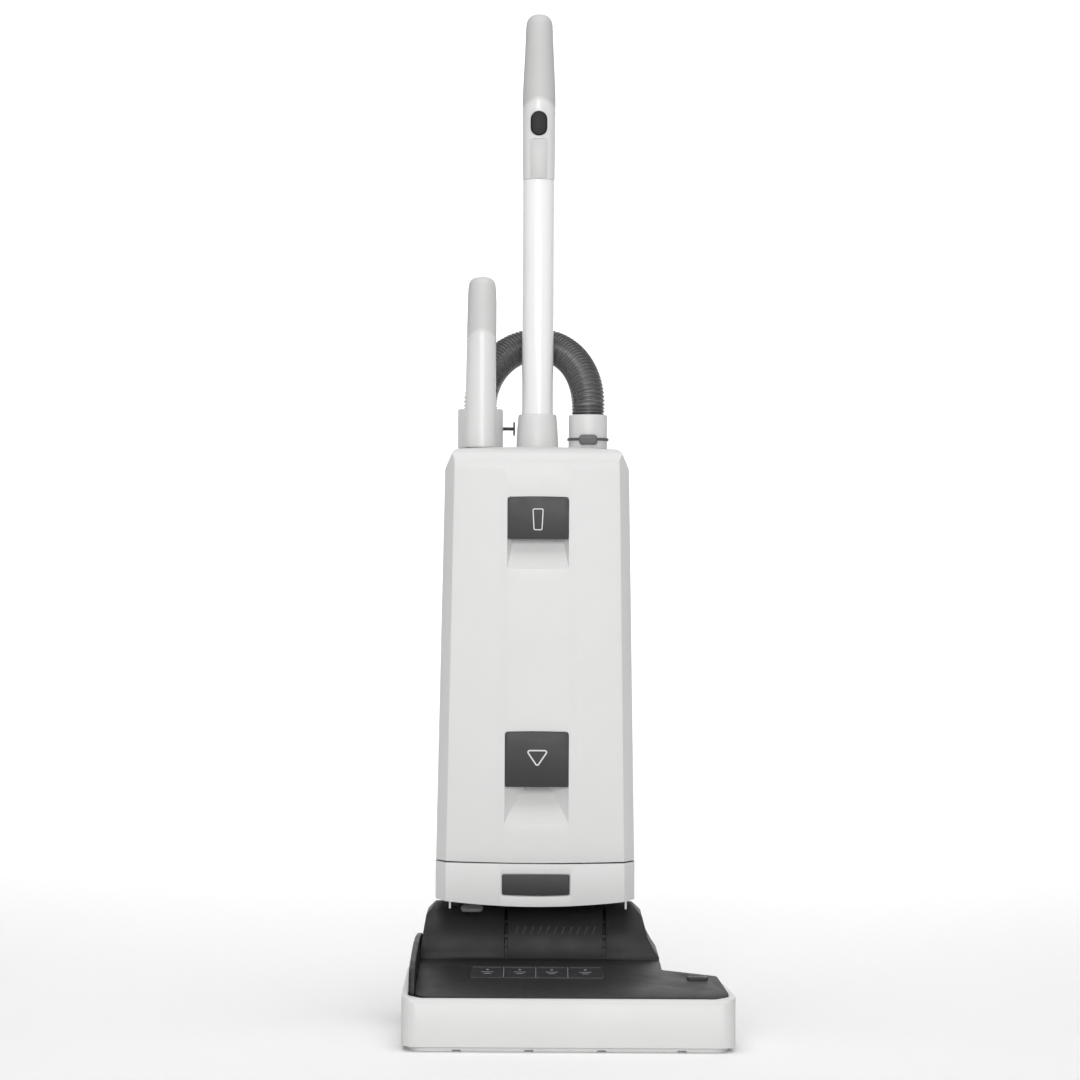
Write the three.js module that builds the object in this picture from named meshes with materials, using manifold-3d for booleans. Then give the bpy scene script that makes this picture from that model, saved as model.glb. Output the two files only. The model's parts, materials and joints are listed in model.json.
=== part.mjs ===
// Upright vacuum cleaner for commercial use: a wide brush head, a tall body that leans back on a
// round neck drum, a central handle tube, and a pull-out wand with a short stretch hose.
// Millimetres, +Z up, the front faces -Y. The origin is on the floor, under the middle of the box.
import * as THREE from "three";
import { mergeVertices } from "three/addons/utils/BufferGeometryUtils.js";
import Module from "manifold-3d";

const wasm = await Module();
wasm.setup();

// ---------------------------------------------------------------- driving dimensions
const GAP = 0.3; // between neighbouring pieces
const WALL = 3; // moulded shells

const HEAD_HALF = 200; // half the width of the floor head
const HEAD_FRONT = -170;
const DECK_FRONT_Z = 64.5; // top edge of the head at the front
const DECK_SLOPE = 0.14; // the deck climbs towards the back
const SOLE_TOP = 7; // sole plate thickness, its underside is on the floor
const TRAY_Z = 10; // underside of the head tray
const TRAY_TOP = 57.5;

const BODY_X = -42; // middle of the body, to the left of the middle of the head
const PIVOT_Y = 88; // recline axis
const PIVOT_Z = 90;
const DRUM_R = 60;
const DRUM_X = [-34, 85]; // neck drum, across the body

const BRUSH_Y = -112;
const BRUSH_Z = 33;
const BRUSH_R = 31.5; // over the bristles
const MOTOR_Y = -18; // brush motor axis
const MOTOR_Z = 48;
const BELT_X = [-172, -160];
const BELT_PITCH = 8;
const MOTOR_TEETH = 8;
const BRUSH_TEETH = 18;

const PANEL_X = [-120.6, 42.6]; // indicator panel on the deck
const PANEL_Y = [-79.6, -30.4];
const BUTTON_X = [143.3, 167.7]; // brush release button
const BUTTON_Y = [-83.7, -72.3];
const CREASE_Y = -22; // where the deck starts to curve up into the hump

const AXLE_Y = 114;
const WHEEL_R = 30;
const WHEEL_X = [-165, 75]; // middles of the rear wheels

const BASE_HALF = 123.6; // half the width of the motor base
const BASE_Z = 154; // lowest point of the base, at its middle
const SEAM_Z = 208; // between the base and the tall casing
const BODY_TOP = 722;
const SHOULDER_Z = 696;
const SHOULDER_HALF = 114.3;
const TOP_HALF = 101.5;
const BODY_FRONT = -6;
const BODY_REAR = 155;
const PARTING_Y = 30; // between the front cover and the rear casing

const HANDLE_Y = 80;
const TUBE_R = 19.8;
const GRIP_Z = 1061;
const GRIP_TOP = 1272;
const SWITCH_Z = 1130.5;

const PORT_X = 63.8; // hose port on the right
const PORT_Y = 80;
const PORT_R = 24.4;
const COLLAR_X = -72; // hose socket of the wand
const COLLAR_Y = 93;
const COLLAR_R = 28.8;
const COLLAR_TOP = 772;
const WAND_X = -70;
const WAND_Y = 52;
const WAND_R = 17.9;
const WAND_TOP = 936;
const HOSE_R = 20.2;
const HOSE_SEAT_Z = 749; // both hose ends sit at this height
const HOSE_ARC_Z = 778;
const HOSE_RISE = 78; // of the arch
const HOSE_LEAN = 42; // how far the arch leans back behind the handle

// ---------------------------------------------------------------- solids
function toManifold(geometry) {
  const bare = geometry.index ? geometry.toNonIndexed() : geometry.clone();
  bare.deleteAttribute("normal");
  bare.deleteAttribute("uv");
  const merged = mergeVertices(bare, 1e-4);
  const mesh = (index) => new wasm.Mesh({
    numProp: 3,
    vertProperties: new Float32Array(merged.attributes.position.array),
    triVerts: new Uint32Array(index),
  });
  const index = Array.from(merged.index.array);
  const made = new wasm.Manifold(mesh(index));
  return made.volume() >= 0 ? made : new wasm.Manifold(mesh(index.reverse()));
}

function toGeometry(manifold) {
  const mesh = manifold.getMesh();
  const corners = new Float32Array(mesh.vertProperties);
  const geometry = new THREE.BufferGeometry();
  geometry.setAttribute("position", new THREE.BufferAttribute(corners, 3));
  geometry.setIndex(new THREE.BufferAttribute(new Uint32Array(mesh.triVerts), 1));
  return geometry;
}

const combine = (how) => (first, ...others) => {
  const result = others.reduce((sum, other) => sum[how](toManifold(other)), toManifold(first));
  return toGeometry(result);
};
const join = combine("add");
const cut = combine("subtract");
const common = combine("intersect");

function outline(points) {
  return new THREE.Shape(points.map(([x, y]) => new THREE.Vector2(x, y)));
}

function roundedRect(width, height, radius, x = 0, y = 0) {
  const [w, h, r] = [width / 2, height / 2, radius];
  const shape = new THREE.Shape();
  shape.moveTo(x - w + r, y - h);
  shape.lineTo(x + w - r, y - h);
  shape.absarc(x + w - r, y - h + r, r, -Math.PI / 2, 0);
  shape.lineTo(x + w, y + h - r);
  shape.absarc(x + w - r, y + h - r, r, 0, Math.PI / 2);
  shape.lineTo(x - w + r, y + h);
  shape.absarc(x - w + r, y + h - r, r, Math.PI / 2, Math.PI);
  shape.lineTo(x - w, y - h + r);
  shape.absarc(x - w + r, y - h + r, r, Math.PI, Math.PI * 1.5);
  return shape;
}

// Extrusions of an outline along each axis: prismZ takes (x, y), prismY (x, z) and prismX (y, z).
function prismZ(shape, low, high, curveSegments = 3) {
  const options = { depth: high - low, bevelEnabled: false, curveSegments };
  return new THREE.ExtrudeGeometry(shape, options).translate(0, 0, low);
}

function prismY(shape, low, high, curveSegments = 3) {
  return prismZ(shape, -high, -low, curveSegments).rotateX(Math.PI / 2);
}

function prismX(shape, low, high, curveSegments = 3) {
  const turn = new THREE.Matrix4().makeBasis(
    new THREE.Vector3(0, 1, 0), new THREE.Vector3(0, 0, 1), new THREE.Vector3(1, 0, 0));
  return prismZ(shape, low, high, curveSegments).applyMatrix4(turn);
}

function block(x, y, z) {
  const size = [x, y, z].map(([low, high]) => high - low);
  const middle = [x, y, z].map(([low, high]) => (high + low) / 2);
  return new THREE.BoxGeometry(...size).translate(...middle);
}

function rodX(radius, low, high, y, z, sides = 14) {
  const geometry = new THREE.CylinderGeometry(radius, radius, high - low, sides);
  return geometry.rotateZ(Math.PI / 2).translate((low + high) / 2, y, z);
}

function rodY(radius, low, high, x, z, sides = 14) {
  return new THREE.CylinderGeometry(radius, radius, high - low, sides).translate(x, (low + high) / 2, z);
}

function rodZ(radius, low, high, x, y, sides = 14) {
  const geometry = new THREE.CylinderGeometry(radius, radius, high - low, sides);
  return geometry.rotateX(Math.PI / 2).translate(x, y, (low + high) / 2);
}

// A turned shape: the profile is a list of (radius, height) pairs, going up the outside.
function turnedZ(profile, x, y, sides = 18) {
  const points = profile.map(([r, z]) => new THREE.Vector2(r, z));
  return new THREE.LatheGeometry(points, sides).rotateX(Math.PI / 2).translate(x, y, 0);
}

function turnedX(profile, y, z, sides = 18) {
  const points = profile.map(([r, x]) => new THREE.Vector2(r, x));
  return new THREE.LatheGeometry(points, sides).rotateZ(-Math.PI / 2).translate(0, y, z);
}

function ringZ(inner, outer, low, high, x, y, sides = 18) {
  return turnedZ([[inner, low], [outer, low], [outer, high], [inner, high], [inner, low]], x, y, sides);
}

function ringX(inner, outer, low, high, y, z, sides = 18) {
  return turnedX([[inner, low], [outer, low], [outer, high], [inner, high], [inner, low]], y, z, sides);
}

function tube(points, radius, steps, sides = 12) {
  const path = new THREE.CatmullRomCurve3(points.map((p) => new THREE.Vector3(...p)));
  const section = new THREE.Shape();
  section.absarc(0, 0, radius, 0, Math.PI * 2);
  const options = { steps, extrudePath: path, curveSegments: sides, bevelEnabled: false };
  return new THREE.ExtrudeGeometry(section, options);
}

// Moves every vertex of a geometry by a rule of its own place.
function reshape(geometry, rule) {
  const position = geometry.attributes.position;
  const point = new THREE.Vector3();
  for (let i = 0; i < position.count; i += 1) {
    point.fromBufferAttribute(position, i);
    rule(point);
    position.setXYZ(i, point.x, point.y, point.z);
  }
  return geometry;
}

// ---------------------------------------------------------------- finishes and assembly
const FINISHES = {
  lightShell: [0xdcdcdb, 0.45, 0],
  darkShell: [0x3c3c3d, 0.5, 0],
  panel: [0x4b4b4c, 0.4, 0],
  grip: [0xd2d2d1, 0.55, 0],
  whiteTube: [0xf2f2f2, 0.25, 0],
  steel: [0xb4b6b8, 0.35, 1],
  rubber: [0x2b2b2b, 0.8, 0],
  bristle: [0x26282c, 0.9, 0],
  hose: [0x55565a, 0.5, 0],
  fleece: [0xe9e6de, 0.95, 0],
  card: [0xc9b48f, 0.9, 0],
  inner: [0x6a6c70, 0.6, 0],
};

const machine = new THREE.Group();
const upright = new THREE.Group();
upright.position.x = BODY_X;
machine.add(upright);

function part(name, geometry, finish, group = upright) {
  const [color, roughness, metalness] = FINISHES[finish];
  const mesh = new THREE.Mesh(geometry, new THREE.MeshStandardMaterial({ color, roughness, metalness }));
  mesh.name = name;
  group.add(mesh);
}

// ---------------------------------------------------------------- floor head
const deckZ = (y) => DECK_FRONT_Z + DECK_SLOPE * (y + 165);

// Plan of the head, pulled in by an inset. The right end is short and its back edge slants.
function headPlan(inset, left, front, rear) {
  const corner = 20;
  const shape = new THREE.Shape();
  const [l, f, right] = [left + inset, front + inset, HEAD_HALF - inset];
  shape.moveTo(l + corner, f);
  shape.lineTo(right - corner, f);
  shape.absarc(right - corner, f + corner, corner, -Math.PI / 2, 0);
  shape.lineTo(right - 13, -60 - inset);
  shape.lineTo(121 - inset, -34 - inset);
  shape.lineTo(120 - inset, rear - inset);
  shape.lineTo(l, rear - inset);
  shape.lineTo(l, f + corner);
  shape.absarc(l + corner, f + corner, corner, Math.PI, Math.PI * 1.5);
  return shape;
}

function bumper() {
  const outer = headPlan(0, -HEAD_HALF, HEAD_FRONT, 40);
  const inner = headPlan(7, -HEAD_HALF, HEAD_FRONT, 400);
  const ring = cut(prismZ(outer, 7.4, 90), prismZ(inner, 0, 100));
  const side = outline([[-171, 14], [-166, 7.4], [41, 7.4], [41, DECK_FRONT_Z + 8.5],
    [-160, DECK_FRONT_Z], [-166, DECK_FRONT_Z - 1.5], [-171, 56]]);
  const band = common(ring, prismX(side, -HEAD_HALF - 1, HEAD_HALF + 1));
  return cut(band, block([60, HEAD_HALF + 1], [-64, 60], [0, 100]));
}

function solePlate() {
  const plate = prismZ(headPlan(8, -HEAD_HALF, HEAD_FRONT - 3, -50), 0, SOLE_TOP);
  const window = block([-173, 173], [BRUSH_Y - 32, BRUSH_Y + 32], [-1, 20]);
  const notches = [-134, -48, 38, 133.5].map((x) => block([x - 4, x + 4], [-170, -160], [-1, 3.5]));
  const cleared = cut(plate, block([-HEAD_HALF, HEAD_HALF], [-50, 60], [-1, 20]));
  return cut(cleared, window, ...notches);
}

function headTray() {
  const plan = (inset) => headPlan(inset, -192, HEAD_FRONT, 158);
  const shell = cut(prismZ(plan(8), TRAY_Z, TRAY_TOP), prismZ(plan(8 + WALL), TRAY_Z + WALL, 80));
  const wall = block([-181, 181], [BRUSH_Y + 36, BRUSH_Y + 39], [TRAY_Z + 1, TRAY_TOP - 2]);
  const within = common(wall, prismZ(plan(9), 0, 80));
  const axleRibs = [-150, -86, 50].map((x) => block([x, x + 5], [98, 130], [TRAY_Z + 1, 45]));
  const body = join(shell, within, ...axleRibs);
  const wells = WHEEL_X.map((x) => block([x - 12.5, x + 12.5], [AXLE_Y - 31, 144], [0, 30]));
  const brushMouth = block([-173, 173], [BRUSH_Y - 34, BRUSH_Y + 34], [0, 30]);
  const beltX = [BELT_X[0] - 2, BELT_X[1] + 2];
  const beltSlot = block(beltX, [BRUSH_Y + 30, BRUSH_Y + 45], [TRAY_Z + 4, TRAY_TOP + 1]);
  const axleBore = rodX(4.3, -170, 95, AXLE_Y, WHEEL_R);
  const ductMouth = block([-20, 30], [BRUSH_Y + 30, BRUSH_Y + 45], [20, 50]);
  return cut(body, ...wells, brushMouth, beltSlot, axleBore, ductMouth);
}

// Side view of the head cover: the sloping deck, then the round hump over the neck drum.
function coverSide(inset) {
  const radius = DRUM_R + 0.6 - inset;
  const shape = new THREE.Shape();
  const start = PIVOT_Y - radius;
  shape.moveTo(-163 + inset, 50);
  shape.lineTo(-163 + inset, DECK_FRONT_Z - 1 - inset);
  shape.lineTo(-161 + inset, DECK_FRONT_Z - inset);
  shape.lineTo(CREASE_Y, deckZ(CREASE_Y) - inset);
  shape.quadraticCurveTo(start - 6, deckZ(start - 6) - inset, start, PIVOT_Z + 6);
  shape.absarc(PIVOT_Y, PIVOT_Z, radius, Math.PI * 0.97, 0, true);
  shape.lineTo(PIVOT_Y + radius, 50);
  return shape;
}

function coverFront(inset) {
  const i = inset;
  return outline([[-184 + i, 50], [190 - i, 50], [190 - i, 86 - i], [112 - i, 86 - i], [105 - i, 97 - i],
    [98 - i, 110], [91 - i, 136 - i], [77 - i, 152 - i], [-165 + i, 152 - i], [-178 + i, 137 - i],
    [-182 + i, 112], [-184 + i, 96]]);
}

function coverSolid(inset, floor) {
  const plan = prismZ(headPlan(7.6 + inset, -191.6, HEAD_FRONT, 158), floor, 170);
  return common(plan, prismX(coverSide(inset), -200, 200, 16), prismY(coverFront(inset), -180, 170));
}

function headCover() {
  const shell = cut(coverSolid(0, 58), coverSolid(WALL, 40));
  const bay = [BODY_X + DRUM_X[0] - 4, BODY_X + DRUM_X[1] + 4];
  const webs = [[bay[0] - WALL, bay[0] + 1], [bay[1] - 1, bay[1] + WALL]].map((x) =>
    common(block(x, [28, 150], [58, 151]), coverSolid(1, 58)));
  const opening = block(bay, [26.6, 200], [40, 200]);
  const pins = rodX(5.3, -100, 70, PIVOT_Y, PIVOT_Z);
  const [front, back] = [PANEL_Y[0] - 0.4, PANEL_Y[1] + 0.4];
  const panelSide = outline([[front, deckZ(front) - 1.4], [back, deckZ(back) - 1.4], [back, 100], [front, 100]]);
  const panelBed = prismX(panelSide, PANEL_X[0] - 0.4, PANEL_X[1] + 0.4);
  const grown = ([low, high]) => [low - GAP, high + GAP];
  const buttonBed = block(grown(BUTTON_X), grown(BUTTON_Y), [50, 100]);
  return cut(join(shell, ...webs), opening, pins, panelBed, buttonBed, pedalStem(4.4, 40, 80));
}

function leftSideCover() {
  const side = outline([[-141, 58], [142, 58], [146, 62], [146, 80], [140, 96], [130, 103], [110, 107],
    [60, 110], [0, 109.5], [-60, 104], [-100, 99], [-128, 92], [-138, 80], [-141, 66]]);
  return prismX(side, -192.4, -184.4);
}

function indicatorPanel() {
  const [front, back] = PANEL_Y;
  const side = outline([[front, deckZ(front) - 1], [back, deckZ(back) - 1],
    [back, deckZ(back) + 0.2], [front, deckZ(front) + 0.2]]);
  return prismX(side, ...PANEL_X);
}

// A round pedal on a stem, which presses into the hump along the line to the recline axis.
const PEDAL_DIR = new THREE.Vector3(0, 0.58, -0.815).normalize();
const PEDAL_X = -121;

function alongPedal(geometry) {
  const turn = new THREE.Quaternion().setFromUnitVectors(new THREE.Vector3(0, 0, -1), PEDAL_DIR);
  return geometry.applyQuaternion(turn).translate(PEDAL_X, PIVOT_Y, PIVOT_Z);
}

function pedalStem(radius, low, high) {
  return alongPedal(rodZ(radius, low, high, 0, 0, 16));
}

function releasePedal() {
  const cap = roundedRect(28, 11, 5.4);
  return join(alongPedal(prismZ(cap, DRUM_R + 6.5, DRUM_R + 11)), pedalStem(4, 44, DRUM_R + 8));
}

function brushReleaseButton() {
  const deck = deckZ((BUTTON_Y[0] + BUTTON_Y[1]) / 2);
  return block(BUTTON_X, BUTTON_Y, [deck - 3.5, deck + 2]);
}

function buildHead() {
  part("bumper", bumper(), "lightShell", machine);
  part("sole_plate", solePlate(), "lightShell", machine);
  part("head_tray", headTray(), "darkShell", machine);
  part("head_cover", headCover(), "darkShell", machine);
  part("left_side_cover", leftSideCover(), "darkShell", machine);
  part("indicator_panel", indicatorPanel(), "panel", machine);
  part("release_pedal", releasePedal(), "grip", machine);
  part("brush_release_button", brushReleaseButton(), "panel", machine);
}

// ---------------------------------------------------------------- brush drive
const toothedRadius = (teeth) => (teeth * BELT_PITCH) / (2 * Math.PI);

function pulley(teeth, y, z, bore) {
  const radius = toothedRadius(teeth) - 1.4;
  const shape = new THREE.Shape();
  for (let tooth = 0; tooth < teeth; tooth += 1) {
    const at = (fraction, r) => {
      const angle = ((tooth + fraction) / teeth) * Math.PI * 2;
      return [Math.cos(angle) * r, Math.sin(angle) * r];
    };
    const corners = [at(0, radius - 1.6), at(0.4, radius - 1.6), at(0.5, radius), at(0.9, radius)];
    corners.forEach(([a, b], i) => (tooth + i === 0 ? shape.moveTo(a, b) : shape.lineTo(a, b)));
  }
  const wheel = prismX(shape, BELT_X[0] + 1, BELT_X[1] - 1).translate(0, y, z);
  const flange = rodX(radius + 3.4, BELT_X[1] - 1.2, BELT_X[1] + 1, y, z);
  return cut(join(wheel, flange), rodX(bore, BELT_X[0] - 5, BELT_X[1] + 5, y, z, 16));
}

// The belt's outline around both pulleys, grown outwards by a thickness.
function beltOutline(grow) {
  const [small, large] = [toothedRadius(MOTOR_TEETH) + grow, toothedRadius(BRUSH_TEETH) + grow];
  const along = new THREE.Vector2(MOTOR_Y - BRUSH_Y, MOTOR_Z - BRUSH_Z);
  const heading = along.angle();
  const spread = Math.acos((large - small) / along.length());
  const shape = new THREE.Shape();
  shape.absarc(BRUSH_Y, BRUSH_Z, large, heading + spread, heading - spread + Math.PI * 2, false);
  shape.absarc(MOTOR_Y, MOTOR_Z, small, heading - spread, heading + spread, false);
  return shape;
}

function driveBelt() {
  const low = BELT_X[0] + 1.5;
  const high = BELT_X[1] - 1.5;
  return cut(prismX(beltOutline(1.2), low, high, 14), prismX(beltOutline(-0.9), low - 1, high + 1, 14));
}

// The roller's four bristle rows are fins that twist along its length.
function brushRoller() {
  const core = rodX(16, -150, 164, BRUSH_Y, BRUSH_Z, 16);
  const journals = [rodX(5, -179, -140, BRUSH_Y, BRUSH_Z), rodX(5, 150, 175, BRUSH_Y, BRUSH_Z)];
  const length = 296;
  const rows = [0, 1, 2, 3].map((row) => {
    const fin = new THREE.BoxGeometry(length, 5, BRUSH_R - 12, 9, 1, 1).translate(0, 0, (BRUSH_R + 12) / 2);
    reshape(fin, (p) => {
      const angle = (row * Math.PI) / 2 + (p.x / length) * Math.PI * 0.8;
      const [y, z] = [p.y, p.z];
      p.y = y * Math.cos(angle) - z * Math.sin(angle);
      p.z = y * Math.sin(angle) + z * Math.cos(angle);
    });
    return fin.translate(5, BRUSH_Y, BRUSH_Z);
  });
  return join(core, ...journals, ...rows);
}

function brushMotor() {
  const can = turnedX([[0, -112], [27, -112], [29, -110], [29, 20], [26, 24], [12, 24], [12, 32], [0, 32]],
    MOTOR_Y, MOTOR_Z, 18);
  const shaft = rodX(3, BELT_X[0] - 3, -111, MOTOR_Y, MOTOR_Z, 16);
  return join(can, shaft);
}

function buildDrive() {
  part("brush_roller", brushRoller(), "bristle", machine);
  part("brush_pulley", pulley(BRUSH_TEETH, BRUSH_Y, BRUSH_Z, 5.3), "inner", machine);
  part("motor_pulley", pulley(MOTOR_TEETH, MOTOR_Y, MOTOR_Z, 3.3), "inner", machine);
  part("drive_belt", driveBelt(), "rubber", machine);
  part("brush_motor", brushMotor(), "steel", machine);
  part("brush_bearing_left", ringX(5.3, 11, -180.6, -175, BRUSH_Y, BRUSH_Z), "steel", machine);
  part("brush_bearing_right", ringX(5.3, 11, 167, 175.5, BRUSH_Y, BRUSH_Z), "steel", machine);
  const bay = DRUM_X.map((x) => BODY_X + x);
  part("pivot_pin_left", rodX(5, bay[0] - 11, bay[0] + 4, PIVOT_Y, PIVOT_Z), "steel", machine);
  part("pivot_pin_right", rodX(5, bay[1] - 4, bay[1] + 11, PIVOT_Y, PIVOT_Z), "steel", machine);
}

// ---------------------------------------------------------------- rear wheels
function buildWheels() {
  part("rear_axle", rodX(4, -172.5, 82.5, AXLE_Y, WHEEL_R), "steel", machine);
  ["left", "right"].forEach((side, i) => {
    const x = WHEEL_X[i];
    const hub = ringX(4.3, 22, x - 9, x + 9, AXLE_Y, WHEEL_R, 18);
    const tyre = turnedX([[22.3, x - 10], [28, x - 10], [WHEEL_R, x - 7], [WHEEL_R, x + 7], [28, x + 10],
      [22.3, x + 10], [22.3, x - 10]], AXLE_Y, WHEEL_R, 28);
    part(`rear_wheel_${side}`, hub, "inner", machine);
    part(`rear_tyre_${side}`, tyre, "rubber", machine);
  });
}

// ---------------------------------------------------------------- neck and motor base
function neckDrum() {
  const [low, high] = DRUM_X;
  const drum = rodX(DRUM_R, low, high, PIVOT_Y, PIVOT_Z, 36);
  const neck = block([-32, 8], [PIVOT_Y - 18, PIVOT_Y + 18], [140, 157]);
  const hollow = rodX(DRUM_R - WALL, low + WALL, high - WALL, PIVOT_Y, PIVOT_Z, 36);
  const passage = block([-29, 5], [PIVOT_Y - 15, PIVOT_Y + 15], [120, 160]);
  const spigots = rodX(DRUM_R - 5, low - 3.6, high + 3.6, PIVOT_Y, PIVOT_Z, 36);
  const bores = rodX(5.3, low - 5, high + 5, PIVOT_Y, PIVOT_Z);
  const mouth = block([low + 8, high - 8], [PIVOT_Y - 40, PIVOT_Y + 25], [20, PIVOT_Z - 30]);
  return cut(join(drum, spigots, neck), hollow, passage, bores, mouth);
}

// Plan of the body: flat sides, corners cut back beside a slightly bowed front, round rear corners.
function bodyPlan(inset) {
  const half = BASE_HALF - inset;
  const front = BODY_FRONT + inset;
  const rear = BODY_REAR - inset;
  const shape = new THREE.Shape();
  shape.moveTo(-110.6 + inset * 0.6, front + 5);
  shape.quadraticCurveTo(0, front - 5, 110.6 - inset * 0.6, front + 5);
  shape.lineTo(half - 1, front + 22);
  shape.lineTo(half, front + 26);
  shape.lineTo(half, rear - 18);
  shape.quadraticCurveTo(half, rear, half - 18, rear);
  shape.lineTo(18 - half, rear);
  shape.quadraticCurveTo(-half, rear, -half, rear - 18);
  shape.lineTo(-half, front + 26);
  shape.lineTo(1 - half, front + 22);
  return shape;
}

function baseHousing() {
  const belly = (inset) => {
    const shape = new THREE.Shape();
    shape.moveTo(-130, 161.5 + inset);
    shape.quadraticCurveTo(0, BASE_Z * 2 - 161.5 + inset, 130, 161.5 + inset);
    shape.lineTo(130, 230);
    shape.lineTo(-130, 230);
    return prismY(shape, -20, 170, 10);
  };
  const outer = common(prismZ(bodyPlan(0), 150, SEAM_Z - 1.6), belly(0));
  const inner = common(prismZ(bodyPlan(WALL + 1), 150, 230), belly(WALL));
  const neckHole = block([-33, 9], [PIVOT_Y - 19, PIVOT_Y + 19], [140, 170]);
  const plateBed = prismY(roundedRect(86, 27.4, 3, 1, 180.6), -12, -4.2);
  const lip = common(block([-44, 46], [-8.6, -1], [161.5, 163.5]), prismZ(bodyPlan(-1), 150, 230));
  const vents = [0, 1, 2, 3, 4].map((i) => block([22 + i * 14, 30 + i * 14], [60, 110], [150, 163]));
  return cut(join(cut(outer, inner), lip), neckHole, plateBed, ...vents);
}

function basePlate() {
  const shape = new THREE.Shape();
  shape.moveTo(-40.6, 168.8);
  shape.quadraticCurveTo(1, 166.2, 42.6, 168.8);
  shape.lineTo(42.6, 192.4);
  shape.quadraticCurveTo(42.4, 193.6, 41, 193.7);
  shape.lineTo(-39, 193.7);
  shape.quadraticCurveTo(-40.4, 193.6, -40.6, 192.4);
  return prismY(shape, -8.2, -4.5);
}

// ---------------------------------------------------------------- tall casing
const halfAt = (z) => {
  const seamHalf = BASE_HALF - 0.4;
  return seamHalf - ((z - SEAM_Z) * (seamHalf - SHOULDER_HALF)) / (SHOULDER_Z - SEAM_Z);
};

function bodySolid(inset, low) {
  const tapered = reshape(prismZ(bodyPlan(inset), low, BODY_TOP + 4), (p) => {
    p.x *= (halfAt(p.z) - inset) / (BASE_HALF - inset);
  });
  const front = new THREE.Shape();
  front.moveTo(-135, low - 1);
  front.lineTo(135, low - 1);
  front.lineTo(135, 640);
  front.lineTo(SHOULDER_HALF + 1 - inset, 690);
  front.lineTo(SHOULDER_HALF - 0.6 - inset, SHOULDER_Z);
  front.lineTo(TOP_HALF + 3 - inset, BODY_TOP - 5.5 - inset);
  front.lineTo(TOP_HALF - 3 - inset, BODY_TOP - 1.8 - inset);
  front.quadraticCurveTo(0, BODY_TOP + 1.8 - inset, 3 - TOP_HALF + inset, BODY_TOP - 1.8 - inset);
  front.lineTo(inset - TOP_HALF - 3, BODY_TOP - 5.5 - inset);
  front.lineTo(inset + 0.6 - SHOULDER_HALF, SHOULDER_Z);
  front.lineTo(inset - SHOULDER_HALF - 1, 690);
  front.lineTo(-135, 640);
  const side = new THREE.Shape();
  const brow = 34; // the top of the front leans back over this height
  side.moveTo(-20, low - 1);
  side.lineTo(170, low - 1);
  side.lineTo(170, 650);
  side.lineTo(BODY_REAR - inset, 690);
  side.quadraticCurveTo(BODY_REAR - inset, BODY_TOP + 2 - inset, BODY_REAR - 26 - inset, BODY_TOP + 2 - inset);
  side.lineTo(BODY_FRONT + brow, BODY_TOP + 2 - inset);
  side.quadraticCurveTo(BODY_FRONT + 4 + inset, BODY_TOP - 1 - inset,
    BODY_FRONT + inset - 0.5, BODY_TOP - brow);
  side.lineTo(BODY_FRONT + inset - 3, BODY_TOP - brow - 30);
  side.lineTo(-20, BODY_TOP - brow - 60);
  return common(tapered, prismY(front, -30, 180, 8), prismX(side, -140, 140, 6));
}

const bodyShell = cut(bodySolid(0, SEAM_Z), bodySolid(WALL, SEAM_Z - 5));

function rearCasing() {
  const half = common(bodyShell, block([-140, 140], [PARTING_Y + GAP, 170], [SEAM_Z - 1, 760]));
  const wandHole = rodZ(19.2, 600, 760, WAND_X, WAND_Y, 18);
  const socketHole = rodZ(TUBE_R + 0.5, 600, 760, 0, HANDLE_Y, 18);
  const portHole = rodZ(19, 600, 760, PORT_X, PORT_Y, 18);
  const grille = block([-30, 90], [140, 170], [218, 290]);
  const hooks = [rodY(4.4, 140, 170, 0, 640, 16), rodY(4.4, 140, 170, 0, 380, 16)];
  const inlet = rodY(6.4, 140, 170, 60, 690, 16);
  return cut(half, wandHole, socketHole, portHole, grille, ...hooks, inlet);
}

// A latch bay: the flush panel's seat at the top, and a finger scoop behind and below it whose
// sides draw in with depth and whose floor runs out to the cover's front.
function latchBay({ top, bottom, runout, depth, pinch }) {
  const clear = BODY_FRONT - 20;
  const side = outline([[clear, runout], [BODY_FRONT - 0.4, runout], [depth, bottom + 3],
    [depth, top - 22], [-1, top - 8], [clear, top - 8]]);
  const scoop = reshape(prismX(side, -38, 41), (p) => {
    const inward = Math.max(0, p.y - BODY_FRONT) / (depth - BODY_FRONT);
    p.x = 1.5 + (p.x - 1.5) * (1 - pinch * inward);
  });
  return {
    space: join(scoop, block([-38, 41], [clear, -1.4], [bottom - 3, top + 1])),
    wall: block([-42, 45], [BODY_FRONT + 1.4, depth + WALL], [runout + 4, top + 5]),
  };
}

const UPPER = { top: 660, bottom: 608, runout: 574, depth: 15, pinch: 0.22 };
const LOWER = { top: 370, bottom: 302, runout: 256, depth: 21, pinch: 0.42 };

function frontCover() {
  const bays = [UPPER, LOWER].map(latchBay);
  const half = common(bodyShell, block([-140, 140], [-20, PARTING_Y], [SEAM_Z, 760]));
  const inside = common(join(...bays.map((b) => b.wall)), bodySolid(1, SEAM_Z));
  const grooves = [-41.5, 42.5].flatMap((x) => [
    block([x - 0.5, x + 0.5], [-14, BODY_FRONT + 1.5], [214, 268]),
    block([x - 0.5, x + 0.5], [-14, BODY_FRONT + 1.5], [384, 590]),
  ]);
  return cut(join(half, inside), ...bays.map((b) => b.space), ...grooves);
}

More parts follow.
